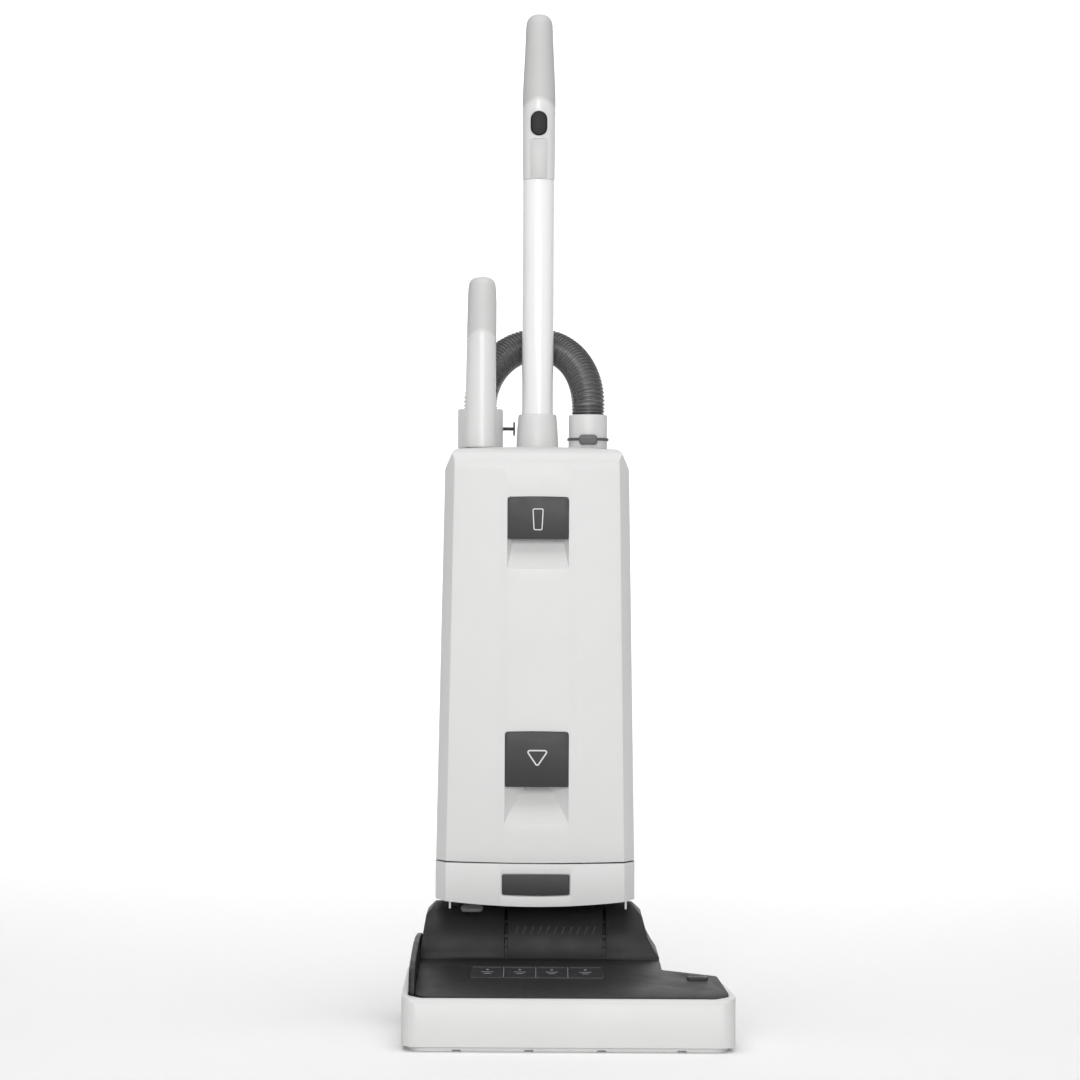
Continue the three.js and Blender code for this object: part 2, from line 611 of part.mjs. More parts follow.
// A latch panel is bowed like the cover's front and swings out about its top edge.
function latchPanel(bay) {
  const face = new THREE.Shape();
  face.moveTo(-37.2, bay.bottom);
  face.lineTo(40.2, bay.bottom);
  face.lineTo(40.2, bay.top - 4);
  face.quadraticCurveTo(40.2, bay.top - 0.6, 37, bay.top - 0.5);
  face.quadraticCurveTo(1.5, bay.top + 0.7, -34, bay.top - 0.5);
  face.quadraticCurveTo(-37.2, bay.top - 0.6, -37.2, bay.top - 4);
  const slab = prismY(face, -9.2, -2.2);
  return common(slab, prismZ(bodyPlan(-0.4), 200, 760));
}

function buildCasing() {
  part("neck_drum", neckDrum(), "darkShell");
  part("base_housing", baseHousing(), "lightShell");
  part("base_plate", basePlate(), "panel");
  part("rear_casing", rearCasing(), "lightShell");
  part("front_cover", frontCover(), "lightShell");
  part("upper_latch", latchPanel(UPPER), "panel");
  part("lower_latch", latchPanel(LOWER), "panel");
}

// ---------------------------------------------------------------- inside the body
const MOTOR_X = 62; // suction motor, on the right of the duct
const DECK_Z = 300; // floor of the bag chamber
const BAG_X = 34;

function suctionMotor() {
  return turnedZ([[0, 172], [30, 172], [40, 178], [44, 186], [44, 228], [40, 236], [14, 239.5],
    [4, 239.5], [4, 272], [0, 272]], MOTOR_X, 85, 20);
}

function fanHousing() {
  return turnedZ([[10, 240], [52, 240], [52, 285], [20, 285], [20, 282], [49, 282], [49, 243], [10, 243],
    [10, 240]], MOTOR_X, 85, 20);
}

function fanImpeller() {
  const plates = turnedZ([[4.4, 247], [42, 247], [42, 249], [9, 251], [9, 272], [4.4, 272], [4.4, 247]],
    MOTOR_X, 85, 20);
  const blades = [0, 1, 2, 3, 4, 5, 6].map((i) => {
    const blade = new THREE.BoxGeometry(34, 1.6, 22).translate(24, 0, 259);
    return blade.rotateZ((i / 7) * Math.PI * 2).translate(MOTOR_X, 85, 0);
  });
  return join(plates, ...blades);
}

function motorDeck() {
  const plan = reshape(prismZ(bodyPlan(WALL + 1), DECK_Z, DECK_Z + 4), (p) => {
    p.x *= (halfAt(DECK_Z) - WALL - 1) / (BASE_HALF - WALL - 1);
  });
  const inCasing = common(plan, block([-140, 140], [PARTING_Y + 12, 170], [200, 400]));
  const slots = [-3, -2, -1, 0, 1, 2, 3].map((i) =>
    block([MOTOR_X + i * 12 - 4, MOTOR_X + i * 12 + 4], [60, 125], [DECK_Z - 1, DECK_Z + 9]));
  return cut(inCasing, rodZ(22, 250, 350, WAND_X, WAND_Y, 18), ...slots);
}

function lowerDuct() {
  const route = (over) => [[-12, 88, 162 - over], [-14, 87, 180], [-34, 76, 203], [-56, 60, 222],
    [WAND_X, WAND_Y, 240], [WAND_X, WAND_Y, 252 + over]];
  return cut(tube(route(0), 20, 9, 5), tube(route(1), 17.4, 9, 5));
}

function filterBag() {
  const envelope = (inset) => {
    const plan = roundedRect(150 - 2 * inset, 88 - 2 * inset, 28, BAG_X, 97);
    return prismZ(plan, 330 + inset, 664 - inset);
  };
  return cut(envelope(0), envelope(2.5), rodZ(19, 640, 680, PORT_X, PORT_Y));
}

function bagPlate() {
  const plate = prismZ(roundedRect(112, 84, 6, 52, 97), 668, 671);
  return cut(plate, rodZ(18.6, 600, 700, PORT_X, PORT_Y, 18));
}

function bagHolder() {
  const cradle = prismZ(roundedRect(118, 92, 8, 51, 98), 672, 675);
  const spout = ringZ(15, 18, 664.6, 716, PORT_X, PORT_Y, 18);
  return join(cut(cradle, rodZ(16, 600, 700, PORT_X, PORT_Y, 18)), spout);
}

function coverSeal() {
  const band = cut(bodySolid(WALL + 0.6, SEAM_Z + 6), bodySolid(WALL + 4, SEAM_Z + 10));
  const strip = common(band, block([-140, 140], [PARTING_Y - 4, PARTING_Y - 0.4], [SEAM_Z + 3, 760]));
  return cut(strip, block([-10, 10], [0, 50], [SEAM_Z, SEAM_Z + 1]));
}

function exhaustGrille() {
  const plate = prismY(roundedRect(119.4, 71.4, 1, 30, 254), BODY_REAR - 3, BODY_REAR - 0.4);
  const slots = [0, 1, 2, 3, 4, 5].map((i) =>
    block([-22, 82], [140, 160], [225.5 + i * 10.4, 230.5 + i * 10.4]));
  return cut(plate, ...slots);
}

function buildInside() {
  part("suction_motor", suctionMotor(), "steel");
  part("fan_housing", fanHousing(), "inner");
  part("fan_impeller", fanImpeller(), "steel");
  part("motor_mount_ring", ringZ(22, 34, 161.8, 171.7, MOTOR_X, 85), "rubber");
  part("motor_gasket", ringZ(24, 40, 285.3, DECK_Z - GAP, MOTOR_X, 85), "rubber");
  part("motor_deck", motorDeck(), "inner");
  part("motor_filter", prismZ(roundedRect(140, 92, 6, 36, 96), DECK_Z + 4.3, DECK_Z + 20), "fleece");
  part("lower_duct", lowerDuct(), "inner");
  part("wand_channel", ringZ(19, 21.6, 252.3, 716, WAND_X, WAND_Y, 18), "inner");
  part("filter_bag", filterBag(), "fleece");
  part("bag_plate", bagPlate(), "card");
  part("bag_holder", bagHolder(), "inner");
  part("cover_seal", coverSeal(), "rubber");
  part("exhaust_grille", exhaustGrille(), "panel");
  const filterFace = roundedRect(112, 66, 4, 30, 254);
  part("exhaust_filter", prismY(filterFace, BODY_REAR - 16, BODY_REAR - 3.6), "fleece");
}

// ---------------------------------------------------------------- handle
const SOCKET_BASE = 722.6;
const SCREW_Z = 744;

function handleSocket() {
  const sleeve = turnedZ([[TUBE_R + 0.3, SOCKET_BASE], [26.4, SOCKET_BASE], [25.8, 738], [24.2, 762],
    [23.4, 765], [TUBE_R + 0.3, 765], [TUBE_R + 0.3, SOCKET_BASE]], 0, HANDLE_Y, 20);
  return cut(sleeve, rodY(3.3, HANDLE_Y, HANDLE_Y + 40, 0, SCREW_Z, 12));
}

// The grip leans back a little towards its rounded top.
const gripLean = (z) => 12 * Math.max(0, (z - GRIP_Z) / (GRIP_TOP - GRIP_Z)) ** 2;

function handleGrip() {
  const profile = [[0, GRIP_Z - 30], [17.4, GRIP_Z - 30], [17.7, GRIP_Z - 28], [17.7, GRIP_Z], [20.2, GRIP_Z],
    [20.4, 1070], [20.6, 1100], [20.8, 1130], [20.7, 1162], [20, 1185], [18.4, 1215], [17.4, 1240],
    [16.9, 1256], [15.4, 1265], [11.5, 1270], [6, GRIP_TOP - 0.5], [0, GRIP_TOP]];
  const body = turnedZ(profile, 0, 0, 24);
  reshape(body, (p) => {
    p.y += HANDLE_Y + gripLean(p.z);
  });
  const switchWell = prismY(roundedRect(21, 31, 10.4, 0, SWITCH_Z), 40, 72, 8);
  const plateBed = block([-11.6, 11.6], [40, HANDLE_Y - 17.6], [GRIP_Z + 0.6, 1111.6]);
  return cut(body, switchWell, plateBed);
}

function powerSwitch() {
  return prismY(roundedRect(20, 30, 9.9, 0, SWITCH_Z), HANDLE_Y - 21.2, HANDLE_Y - 11, 8);
}

function gripPlate() {
  const barrel = rodZ(20.7, GRIP_Z + 1, 1111, 0, HANDLE_Y, 24);
  return common(barrel, block([-11.2, 11.2], [40, HANDLE_Y - 17.9], [GRIP_Z + 1, 1111]));
}

function handleScrew() {
  const knob = rodY(7, HANDLE_Y + 27.8, HANDLE_Y + 34, 0, SCREW_Z, 16);
  return join(knob, rodY(3, HANDLE_Y + 20.4, HANDLE_Y + 29, 0, SCREW_Z, 12));
}

function buildHandle() {
  part("handle_socket", handleSocket(), "lightShell");
  part("handle_tube", ringZ(18, TUBE_R, 690, GRIP_Z - GAP, 0, HANDLE_Y, 24), "whiteTube");
  part("handle_grip", handleGrip(), "grip");
  part("grip_plate", gripPlate(), "grip");
  part("power_switch", powerSwitch(), "panel");
  part("handle_screw", handleScrew(), "panel");
}

// ---------------------------------------------------------------- wand, hose and hose port
const CATCH_Z = 747.4;

function wandGrip() {
  const bar = turnedZ([[0, SOCKET_BASE], [WAND_R, SOCKET_BASE], [WAND_R, 905], [17.2, 922], [15.6, 930],
    [11, 934.5], [5, WAND_TOP - 0.3], [0, WAND_TOP]], WAND_X, WAND_Y, 18);
  const collar = turnedZ([[0, SOCKET_BASE], [COLLAR_R, SOCKET_BASE], [COLLAR_R, COLLAR_TOP - 2],
    [COLLAR_R - 1.6, COLLAR_TOP], [0, COLLAR_TOP]], COLLAR_X, COLLAR_Y, 20);
  const seat = rodZ(HOSE_R + 0.6, HOSE_SEAT_Z - GAP, 800, COLLAR_X, COLLAR_Y, 18);
  const passage = rodZ(14, SOCKET_BASE + 6, HOSE_SEAT_Z, COLLAR_X, COLLAR_Y, 20);
  const spigotSeat = rodZ(15.2, 700, SOCKET_BASE + 14, WAND_X, WAND_Y, 24);
  const bridge = block([COLLAR_X - 9, COLLAR_X + 9], [WAND_Y, COLLAR_Y], [SOCKET_BASE + 6, SOCKET_BASE + 13]);
  const catchBore = rodX(2.6, COLLAR_X + 23, COLLAR_X + 43, COLLAR_Y, CATCH_Z, 12);
  return cut(join(bar, collar), seat, passage, spigotSeat, bridge, catchBore);
}

function wandTube() {
  return ringZ(13, 14.8, 262, SOCKET_BASE + 13.6, WAND_X, WAND_Y, 18);
}

function wandCatch() {
  const stem = rodX(2.1, COLLAR_X + 27, -29, COLLAR_Y, CATCH_Z, 12);
  const pad = prismX(roundedRect(14, 17, 2, COLLAR_Y, CATCH_Z), -30.4, -28.6);
  return join(stem, pad);
}

// The hose rises from the port, arches back behind the handle and drops into the wand's collar.
function hoseRoute() {
  const middle = (PORT_X + COLLAR_X) / 2;
  const half = (PORT_X - COLLAR_X) / 2;
  const arch = [];
  for (let i = 0; i <= 16; i += 1) {
    const angle = (i / 16) * Math.PI;
    const across = PORT_Y + ((COLLAR_Y - PORT_Y) * i) / 16;
    const bulge = Math.sin(angle) ** 2;
    arch.push([middle + half * Math.cos(angle) + 4 * bulge, across + HOSE_LEAN * bulge,
      HOSE_ARC_Z + HOSE_RISE * Math.sin(angle)]);
  }
  const rise = [0, 12, 24].map((up) => [PORT_X, PORT_Y, HOSE_SEAT_Z + up]);
  const fall = [24, 12, 0].map((up) => [COLLAR_X, COLLAR_Y, HOSE_SEAT_Z + up]);
  return [...rise, ...arch, ...fall];
}

function hosePort() {
  return turnedZ([[18.4, SOCKET_BASE], [PORT_R, SOCKET_BASE], [PORT_R, 763], [PORT_R - 1.6, 765],
    [HOSE_R + 0.6, 765], [HOSE_R + 0.6, HOSE_SEAT_Z - GAP], [18.4, HOSE_SEAT_Z - GAP - 3], [18.4, SOCKET_BASE]],
  PORT_X, PORT_Y, 20);
}

function hoseClip() {
  const band = ringZ(PORT_R + GAP, PORT_R + 1.6, 732.4, 735.6, PORT_X, PORT_Y, 20);
  const tab = prismY(roundedRect(22.6, 12.5, 4, PORT_X, 733.2), PORT_Y - PORT_R - 4.5, PORT_Y - PORT_R + 4);
  return join(band, cut(tab, rodZ(PORT_R + GAP, 700, 760, PORT_X, PORT_Y, 20)));
}

function buildWand() {
  part("hose_port", hosePort(), "lightShell");
  part("hose_clip", hoseClip(), "panel");
  part("wand_grip", wandGrip(), "grip");
  part("wand_tube", wandTube(), "whiteTube");
  part("wand_catch", wandCatch(), "panel");
  part("hose", tube(hoseRoute(), HOSE_R, 22, 5), "hose");
}

// ---------------------------------------------------------------- cord storage at the back
function cordHook(z, turnDown) {
  const boss = rodY(12, BODY_REAR + GAP, 166, 0, z, 20);
  const stud = rodY(4.1, 146, 156, 0, z);
  const arm = prismY(roundedRect(20, 56, 8, 0, turnDown ? z - 19 : z + 19), 164, -HEAD_FRONT);
  return join(boss, stud, arm);
}

function cordInlet() {
  const body = turnedZ([[0, 146], [6, 146], [6, 155.3], [9, 155.3], [8, 161], [6.4, 167], [0, 167]], 0, 0, 20);
  const bore = rodZ(4, 140, 170, 0, 0, 16);
  return cut(body, bore).rotateX(-Math.PI / 2).translate(60, 0, 690);
}

function buildRear() {
  part("upper_cord_hook", cordHook(640, false), "panel");
  part("lower_cord_hook", cordHook(380, true), "panel");
  part("cord_inlet", cordInlet(), "rubber");
}

buildHead();
buildDrive();
buildWheels();
buildCasing();
buildInside();
buildHandle();
buildWand();
buildRear();

export default machine;
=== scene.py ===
"""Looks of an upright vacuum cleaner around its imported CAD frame. Shapes are built in millimetres."""
import json
import math

import bmesh
import bpy
from mathutils import Matrix, Vector


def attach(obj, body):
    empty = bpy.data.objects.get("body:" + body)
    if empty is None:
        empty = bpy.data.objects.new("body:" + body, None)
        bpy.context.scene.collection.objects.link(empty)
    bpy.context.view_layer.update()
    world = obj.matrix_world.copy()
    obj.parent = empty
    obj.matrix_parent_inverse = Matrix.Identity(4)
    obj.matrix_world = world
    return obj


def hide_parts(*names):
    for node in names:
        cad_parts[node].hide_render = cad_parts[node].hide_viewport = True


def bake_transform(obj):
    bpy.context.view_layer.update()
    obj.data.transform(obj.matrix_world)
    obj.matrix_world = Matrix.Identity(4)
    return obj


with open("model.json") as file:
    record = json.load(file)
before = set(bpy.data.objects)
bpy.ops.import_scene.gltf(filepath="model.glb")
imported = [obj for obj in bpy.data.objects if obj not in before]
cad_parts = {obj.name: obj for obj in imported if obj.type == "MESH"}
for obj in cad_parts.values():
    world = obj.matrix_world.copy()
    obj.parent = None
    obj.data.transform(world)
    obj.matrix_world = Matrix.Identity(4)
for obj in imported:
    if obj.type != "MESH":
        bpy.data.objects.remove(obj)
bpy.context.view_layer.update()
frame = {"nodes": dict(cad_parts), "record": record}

MM = 0.001
BODY_X = -42  # middle of the body, left of the middle of the head
BODY_SHIFT = Matrix.Translation((BODY_X * MM, 0, 0))
HEAD_BODIES = {"head", "brush", "motor_pulley", "brush_release", "release_pedal", "wheel_left", "wheel_right"}
NODE_SLOT = {s["node"]: s["material_slot"] for s in frame["record"]["subparts"]}


# ---------------------------------------------------------------- mesh helpers
def arc(x, y, radius, start, end, steps):
    """Points on a circle from one angle to another, in degrees."""
    angles = [math.radians(start + (end - start) * i / steps) for i in range(steps + 1)]
    return [polar((x, y), radius, a) for a in angles]


def fillet(points, radius, steps=4, closed=True):
    """A polyline with every corner rounded to a radius, or to its own from a list of radii."""
    radii = radius if isinstance(radius, (list, tuple)) else [radius] * len(points)
    made = []
    for i, corner in enumerate(points):
        if radii[i] == 0 or (not closed and i in (0, len(points) - 1)):
            made.append(tuple(corner))
            continue
        c = Vector(corner)
        before, after = Vector(points[i - 1]) - c, Vector(points[(i + 1) % len(points)]) - c
        half = before.angle(after) / 2
        reach = min(radii[i] / math.tan(half), 0.49 * before.length, 0.49 * after.length)
        start, end = c + before.normalized() * reach, c + after.normalized() * reach
        weight = math.sin(half)
        for k in range(steps + 1):
            t = k / steps
            a, b, d = (1 - t) ** 2, 2 * weight * t * (1 - t), t * t
            made.append(tuple((start * a + c * b + end * d) / (a + b + d)))
    return made


def rounded_rect(width, height, radius, x=0, y=0, steps=6):
    """A rectangle about (x, y) with round corners."""
    w, h = width / 2, height / 2
    return fillet([(x - w, y - h), (x + w, y - h), (x + w, y + h), (x - w, y + h)], min(radius, w, h), steps)


def circle(radius, x=0, y=0, sides=64):
    return arc(x, y, radius, 0, 360, sides)[:-1]


def inset(points, distance):
    """A closed outline pulled in on every side; counter-clockwise outlines only."""
    made = []
    for i, point in enumerate(points):
        p = Vector(point)
        back, ahead = p - Vector(points[i - 1]), Vector(points[(i + 1) % len(points)]) - p
        back = back.normalized() if back.length > 1e-6 else ahead.normalized()
        ahead = ahead.normalized() if ahead.length > 1e-6 else back
        normal = Vector((-back.y - ahead.y, back.x + ahead.x)) / 2
        made.append(tuple(p + normal * (distance / max(normal.length_squared, 0.2))))
    return made


def quad(a, b, c, steps):
    """Points of a quadratic curve, without its start."""
    made = []
    for i in range(1, steps + 1):
        t = i / steps
        made.append(tuple(Vector(a) * (1 - t) ** 2 + Vector(b) * 2 * t * (1 - t) + Vector(c) * t * t))
    return made


def curve(points, steps):
    """A smooth line through points, with equal steps between each pair."""
    made = []
    for i in range(len(points) - 1):
        a, b, c, d = (Vector(points[min(max(i + k, 0), len(points) - 1)]) for k in (-1, 0, 1, 2))
        for k in range(steps):
            t = k / steps
            made.append(tuple(0.5 * (2 * b + (c - a) * t + (2 * a - 5 * b + 4 * c - d) * t * t
                                     + (3 * b - a - 3 * c + d) * t ** 3)))
    return made + [tuple(points[-1])]


def full_turn(count):
    """Angles at equal steps round a circle."""
    return [2 * math.pi * k / count for k in range(count)]


def polar(centre, radius, angle):
    """A point at a radius and an angle from a centre."""
    return centre[0] + radius * math.cos(angle), centre[1] + radius * math.sin(angle)


def to_space(axis, u, v, w):
    """A point (u, v) of an outline at height w, for outlines that lie across the X, Y or Z axis."""
    return {"X": (w, u, v), "Y": (u, w, v), "Z": (u, v, w)}[axis]


def placed(name, data):
    """A new object in the scene."""
    obj = bpy.data.objects.new(name, data)
    bpy.context.scene.collection.objects.link(obj)
    return obj


def discard(obj):
    """Deletes an object and its mesh."""
    mesh = obj.data
    bpy.data.objects.remove(obj)
    bpy.data.meshes.remove(mesh)


def mesh_object(name, verts, faces):
    """A closed mesh with its faces pointing out, from points in millimetres."""
    mesh = bpy.data.meshes.new(name)
    mesh.from_pydata([Vector(v) * MM for v in verts], [], faces)
    work = bmesh.new()
    work.from_mesh(mesh)
    bmesh.ops.remove_doubles(work, verts=work.verts, dist=1e-7)
    bmesh.ops.dissolve_degenerate(work, edges=work.edges, dist=1e-7)
    bmesh.ops.recalc_face_normals(work, faces=work.faces)
    work.to_mesh(mesh)
    work.free()
    return placed(name, mesh)


def loft(name, rings, round_trip=False):
    """Rings of equal length joined by quads. The ends are capped unless the rings come round to the first."""
    count = len(rings[0])
    verts = [p for ring in rings for p in ring]
    faces = []
    for i in range(len(rings) if round_trip else len(rings) - 1):
        a, b = i * count, ((i + 1) % len(rings)) * count
        for k in range(count):
            n = (k + 1) % count
            faces.append((a + k, a + n, b + n, b + k))
    if not round_trip:
        faces.append(tuple(range(count))[::-1])
        faces.append(tuple(range(len(verts) - count, len(verts))))
    return mesh_object(name, verts, faces)


def prism(name, outline, axis, low, high, rounding=0, steps=3, bottom=None):
    """An extruded outline whose two end edges are rounded."""
    if rounding == 0 and not bottom:
        return loft(name, [[to_space(axis, u, v, w) for u, v in outline] for w in (low, high)])
    base = rounding if bottom is None else bottom
    turns = [math.pi / 2 * i / steps for i in range(steps + 1)]
    rings = [(base * (1 - math.sin(t)), low + base * (1 - math.cos(t)))
             for t in turns] if base else [(0, low)]
    if rounding:
        rings += [(rounding * (1 - math.cos(t)), high - rounding * (1 - math.sin(t))) for t in turns]
    else:
        rings.append((0, high))
    return loft(name, [[to_space(axis, u, v, w) for u, v in inset(outline, d)] for d, w in rings])


def turned(name, profile, axis, centre, sides=64, hollow=False):
    """A turned shape: (radius, height) pairs along an axis through a centre. Hollow profiles come round."""
    rings = []
    for radius, height in profile:
        around = circle(max(radius, 1e-3), sides=sides)
        rings.append([to_space(axis, centre[0] + x, centre[1] + y, height) for x, y in around])
    return loft(name, rings, round_trip=hollow)


def rod(name, radius, low, high, axis, centre, sides=64):
    """A plain cylinder, mostly a tool that drills a hole."""
    return turned(name, [(0.01, low), (radius, low), (radius, high), (0.01, high)], axis, centre, sides)


def ring(name, inner, outer, low, high, axis, centre, rounding=0.4, sides=64):
    """A round sleeve with its four edges rounded."""
    corners = [(inner, low), (outer, low), (outer, high), (inner, high)]
    return turned(name, fillet(corners, rounding, 3), axis, centre, sides, hollow=True)


def sweep(path, sections):
    """Rings round a path. A section gives a ring's radii from its number in the path, one for each angle."""
    side = Vector((0, 1, 0))
    made = [[] for _ in sections]
    for i, point in enumerate(path):
        ahead = (path[min(i + 1, len(path) - 1)] - path[max(i - 1, 0)]).normalized()
        side = (side - ahead * side.dot(ahead)).normalized()
        up = ahead.cross(side)
        for section, rings in zip(sections, made):
            radii = section(i)
            rings.append([point + side * (r * math.cos(a)) + up * (r * math.sin(a))
                          for r, a in zip(radii, full_turn(len(radii)))])
    return made


def reshape(obj, rule):
    """Moves every vertex by a rule that takes and gives back millimetres."""
    for vertex in obj.data.vertices:
        vertex.co = Vector(rule(vertex.co / MM)) * MM
    return obj


def applied(obj):
    """The object with its modifiers made part of its mesh."""
    made = bpy.data.meshes.new_from_object(obj.evaluated_get(bpy.context.evaluated_depsgraph_get()))
    old = obj.data
    obj.modifiers.clear()
    obj.data = made
    bpy.data.meshes.remove(old)
    return obj


def combine(obj, tools, operation):
    """One boolean after another; the tools are used up."""
    for tool in tools:
        step = obj.modifiers.new(operation, "BOOLEAN")
        step.object, step.operation, step.solver = tool, operation, "MANIFOLD"
    applied(obj)
    for tool in tools:
        discard(tool)
    return obj


def cut(obj, *tools):
    return combine(obj, tools, "DIFFERENCE")


def join(obj, *tools):
    return combine(obj, tools, "UNION")


def common(obj, *tools):
    return combine(obj, tools, "INTERSECT")


def block(x, y, z):
    """A box from its ranges along the three axes."""
    outline = [(x[0], y[0]), (x[1], y[0]), (x[1], y[1]), (x[0], y[1])]
    return prism("block", outline, "Z", *z)


def bevel(obj, width, segments=2, angle=32):
    """Rounds the edges sharper than an angle."""
    step = obj.modifiers.new("bevel", "BEVEL")
    step.width, step.segments, step.angle_limit = width * MM, segments, math.radians(angle)
    step.limit_method, step.use_clamp_overlap, step.miter_outer = "ANGLE", True, "MITER_ARC"
    return applied(obj)


def merge(name, objects):
    """One object that holds the separate meshes of several."""
    work = bmesh.new()
    for obj in objects:
        work.from_mesh(obj.data)
    mesh = bpy.data.meshes.new(name)
    work.to_mesh(mesh)
    work.free()
    for obj in objects:
        discard(obj)
    return placed(name, mesh)


def dress(obj, material, sharp):
    """Smooth shading with sharp edges above an angle, and a material."""
    obj.data.shade_smooth()
    obj.data.set_sharp_from_angle(angle=math.radians(sharp))
    obj.data.materials.clear()
    obj.data.materials.append(material)


def show(obj, body, slot, *nodes, material=None, sharp=38):
    """Finishes a piece: its place, shading, material and body. The slot picks the material when none is
    given, and the CAD nodes that it stands for are hidden.
    """
    if body not in HEAD_BODIES:
        obj.data.transform(BODY_SHIFT)
    dress(obj, material or FINISH[slot], sharp)
    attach(obj, body)
    if nodes:
        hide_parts(*nodes)


# ---------------------------------------------------------------- camera
def make_camera():
    """A long lens level with the middle of the cleaner, rolled a third of a degree as in the photograph."""
    data = bpy.data.cameras.new("camera")
    data.lens, data.sensor_width = 105.6, 36
    data.clip_start, data.clip_end = 0.1, 60
    camera = placed("camera", data)
    camera.location = (-0.038, -3.918, 0.607)
    camera.rotation_euler = (math.radians(90), math.radians(-0.3), 0)
    bpy.context.scene.camera = camera


make_camera()


# ---------------------------------------------------------------- materials
class Nodes:
    """Builds a material's node tree on object coordinates in metres."""

    def __init__(self, name):
        self.material = bpy.data.materials.new(name)
        self.material.use_nodes = True
        self.tree = self.material.node_tree
        self.shader = self.tree.nodes["Principled BSDF"]
        self.place = self.tree.nodes.new("ShaderNodeTexCoord").outputs["Object"]

    def feed(self, socket, value):
        """Links another node's output to a socket, or sets the socket to a constant."""
        if isinstance(value, bpy.types.NodeSocket):
            self.tree.links.new(value, socket)
        else:
            socket.default_value = value

    def node(self, kind, inputs=(), **settings):
        made = self.tree.nodes.new("ShaderNode" + kind)
        for key, value in settings.items():
            setattr(made, key, value)
        for key, value in dict(inputs).items():
            self.feed(made.inputs[key], value)
        return made

    def stretched(self, scale):
        return self.node("Mapping", {"Vector": self.place, "Scale": scale}).outputs[0]

    def noise(self, scale, detail=2.0, rough=0.5, vector=None):
        inputs = {"Vector": vector or self.place, "Scale": scale, "Detail": detail, "Roughness": rough}
        return self.node("TexNoise", inputs).outputs["Fac"]

    def cells(self, scale, randomness=1.0, **settings):
        inputs = {"Vector": self.place, "Scale": scale, "Randomness": randomness}
        return self.node("TexVoronoi", inputs, **settings).outputs["Distance"]

    def span(self, value, low, high, from_low=0.0, from_high=1.0):
        inputs = {"Value": value, "From Min": from_low, "From Max": from_high, "To Min": low, "To Max": high}
        return self.node("MapRange", inputs).outputs[0]

    def math(self, operation, a, b=0.0):
        return self.node("Math", {0: a, 1: b}, operation=operation).outputs[0]

    def blend(self, factor, a, b):
        return self.node("Mix", {0: factor, 6: a, 7: b}, data_type="RGBA").outputs[2]

    def shades(self, value, colour, dark, light, low=0.3, high=0.7):
        """A colour between two tones of itself, where a value runs from low to high."""
        return self.blend(self.span(value, 0, 1, low, high), tone(colour, dark), tone(colour, light))

    def bump(self, height, strength, distance):
        return self.node("Bump", {"Height": height, "Strength": strength, "Distance": distance}).outputs[0]

    def link(self, **sockets):
        for key, value in sockets.items():
            self.feed(self.shader.inputs[key.replace("_", " ")], value)
        return self.material


def tone(colour, factor):
    return tuple(min(1.0, c * factor) for c in colour) + (1.0,)


def moulded(name, colour, rough=0.42, grain=0.35, mottle=0.02, specular=0.5, grain_scale=1700):
    """Injection-moulded plastic: faint flow mottling, a fine spark-eroded grain and uneven gloss."""
    n = Nodes(name)
    broad = n.noise(9, 3, 0.6)
    fine = n.noise(grain_scale, 2, 0.6)
    pits = n.cells(grain_scale * 0.62, feature="SMOOTH_F1")
    mixed = n.math("ADD", n.math("MULTIPLY", broad, 0.75), n.math("MULTIPLY", fine, 0.25))
    colour_out = n.shades(mixed, colour, 1 - mottle, 1 + mottle)
    uneven = n.noise(38, 4, 0.65)
    height = n.math("ADD", n.math("MULTIPLY", fine, 0.6), n.math("MULTIPLY", pits, 0.5))
    return n.link(Base_Color=colour_out, Roughness=n.span(uneven, rough - 0.05, rough + 0.06, 0.3, 0.7),
                  Normal=n.bump(height, grain, 0.00012), Specular_IOR_Level=specular)


def lacquered(name, colour):
    """Gloss lacquer over metal, with a little orange peel."""
    n = Nodes(name)
    peel = n.noise(420, 2, 0.4)
    broad = n.noise(6, 2, 0.5, n.stretched((1, 1, 0.35)))
    colour_out = n.shades(broad, colour, 0.99, 1.01)
    return n.link(Base_Color=colour_out, Roughness=n.span(n.noise(60, 3), 0.2, 0.27, 0.3, 0.7),
                  Normal=n.bump(peel, 0.12, 0.0002), Coat_Weight=0.5, Coat_Roughness=0.08)


def metal(name, colour, rough, along="X"):
    """Ground or drawn metal with fine lines along one axis."""
    n = Nodes(name)
    scale = {"X": (4, 260, 260), "Y": (260, 4, 260), "Z": (260, 260, 4)}[along]
    lines = n.noise(6, 4, 0.7, n.stretched(scale))
    stains = n.noise(40, 3, 0.6)
    colour_out = n.shades(stains, colour, 0.9, 1.04, 0.35, 0.7)
    return n.link(Base_Color=colour_out, Metallic=1.0,
                  Roughness=n.span(lines, rough - 0.08, rough + 0.12, 0.3, 0.7),
                  Normal=n.bump(lines, 0.3, 0.00006))


def rubber(name, colour, rough=0.75):
    n = Nodes(name)
    dust = n.noise(120, 4, 0.7)
    fine = n.noise(2600, 2, 0.5)
    colour_out = n.shades(dust, colour, 0.9, 1.35, 0.45, 0.75)
    return n.link(Base_Color=colour_out, Roughness=n.span(dust, rough - 0.1, rough + 0.1, 0.3, 0.7),
                  Normal=n.bump(fine, 0.4, 0.0001), Specular_IOR_Level=0.35)


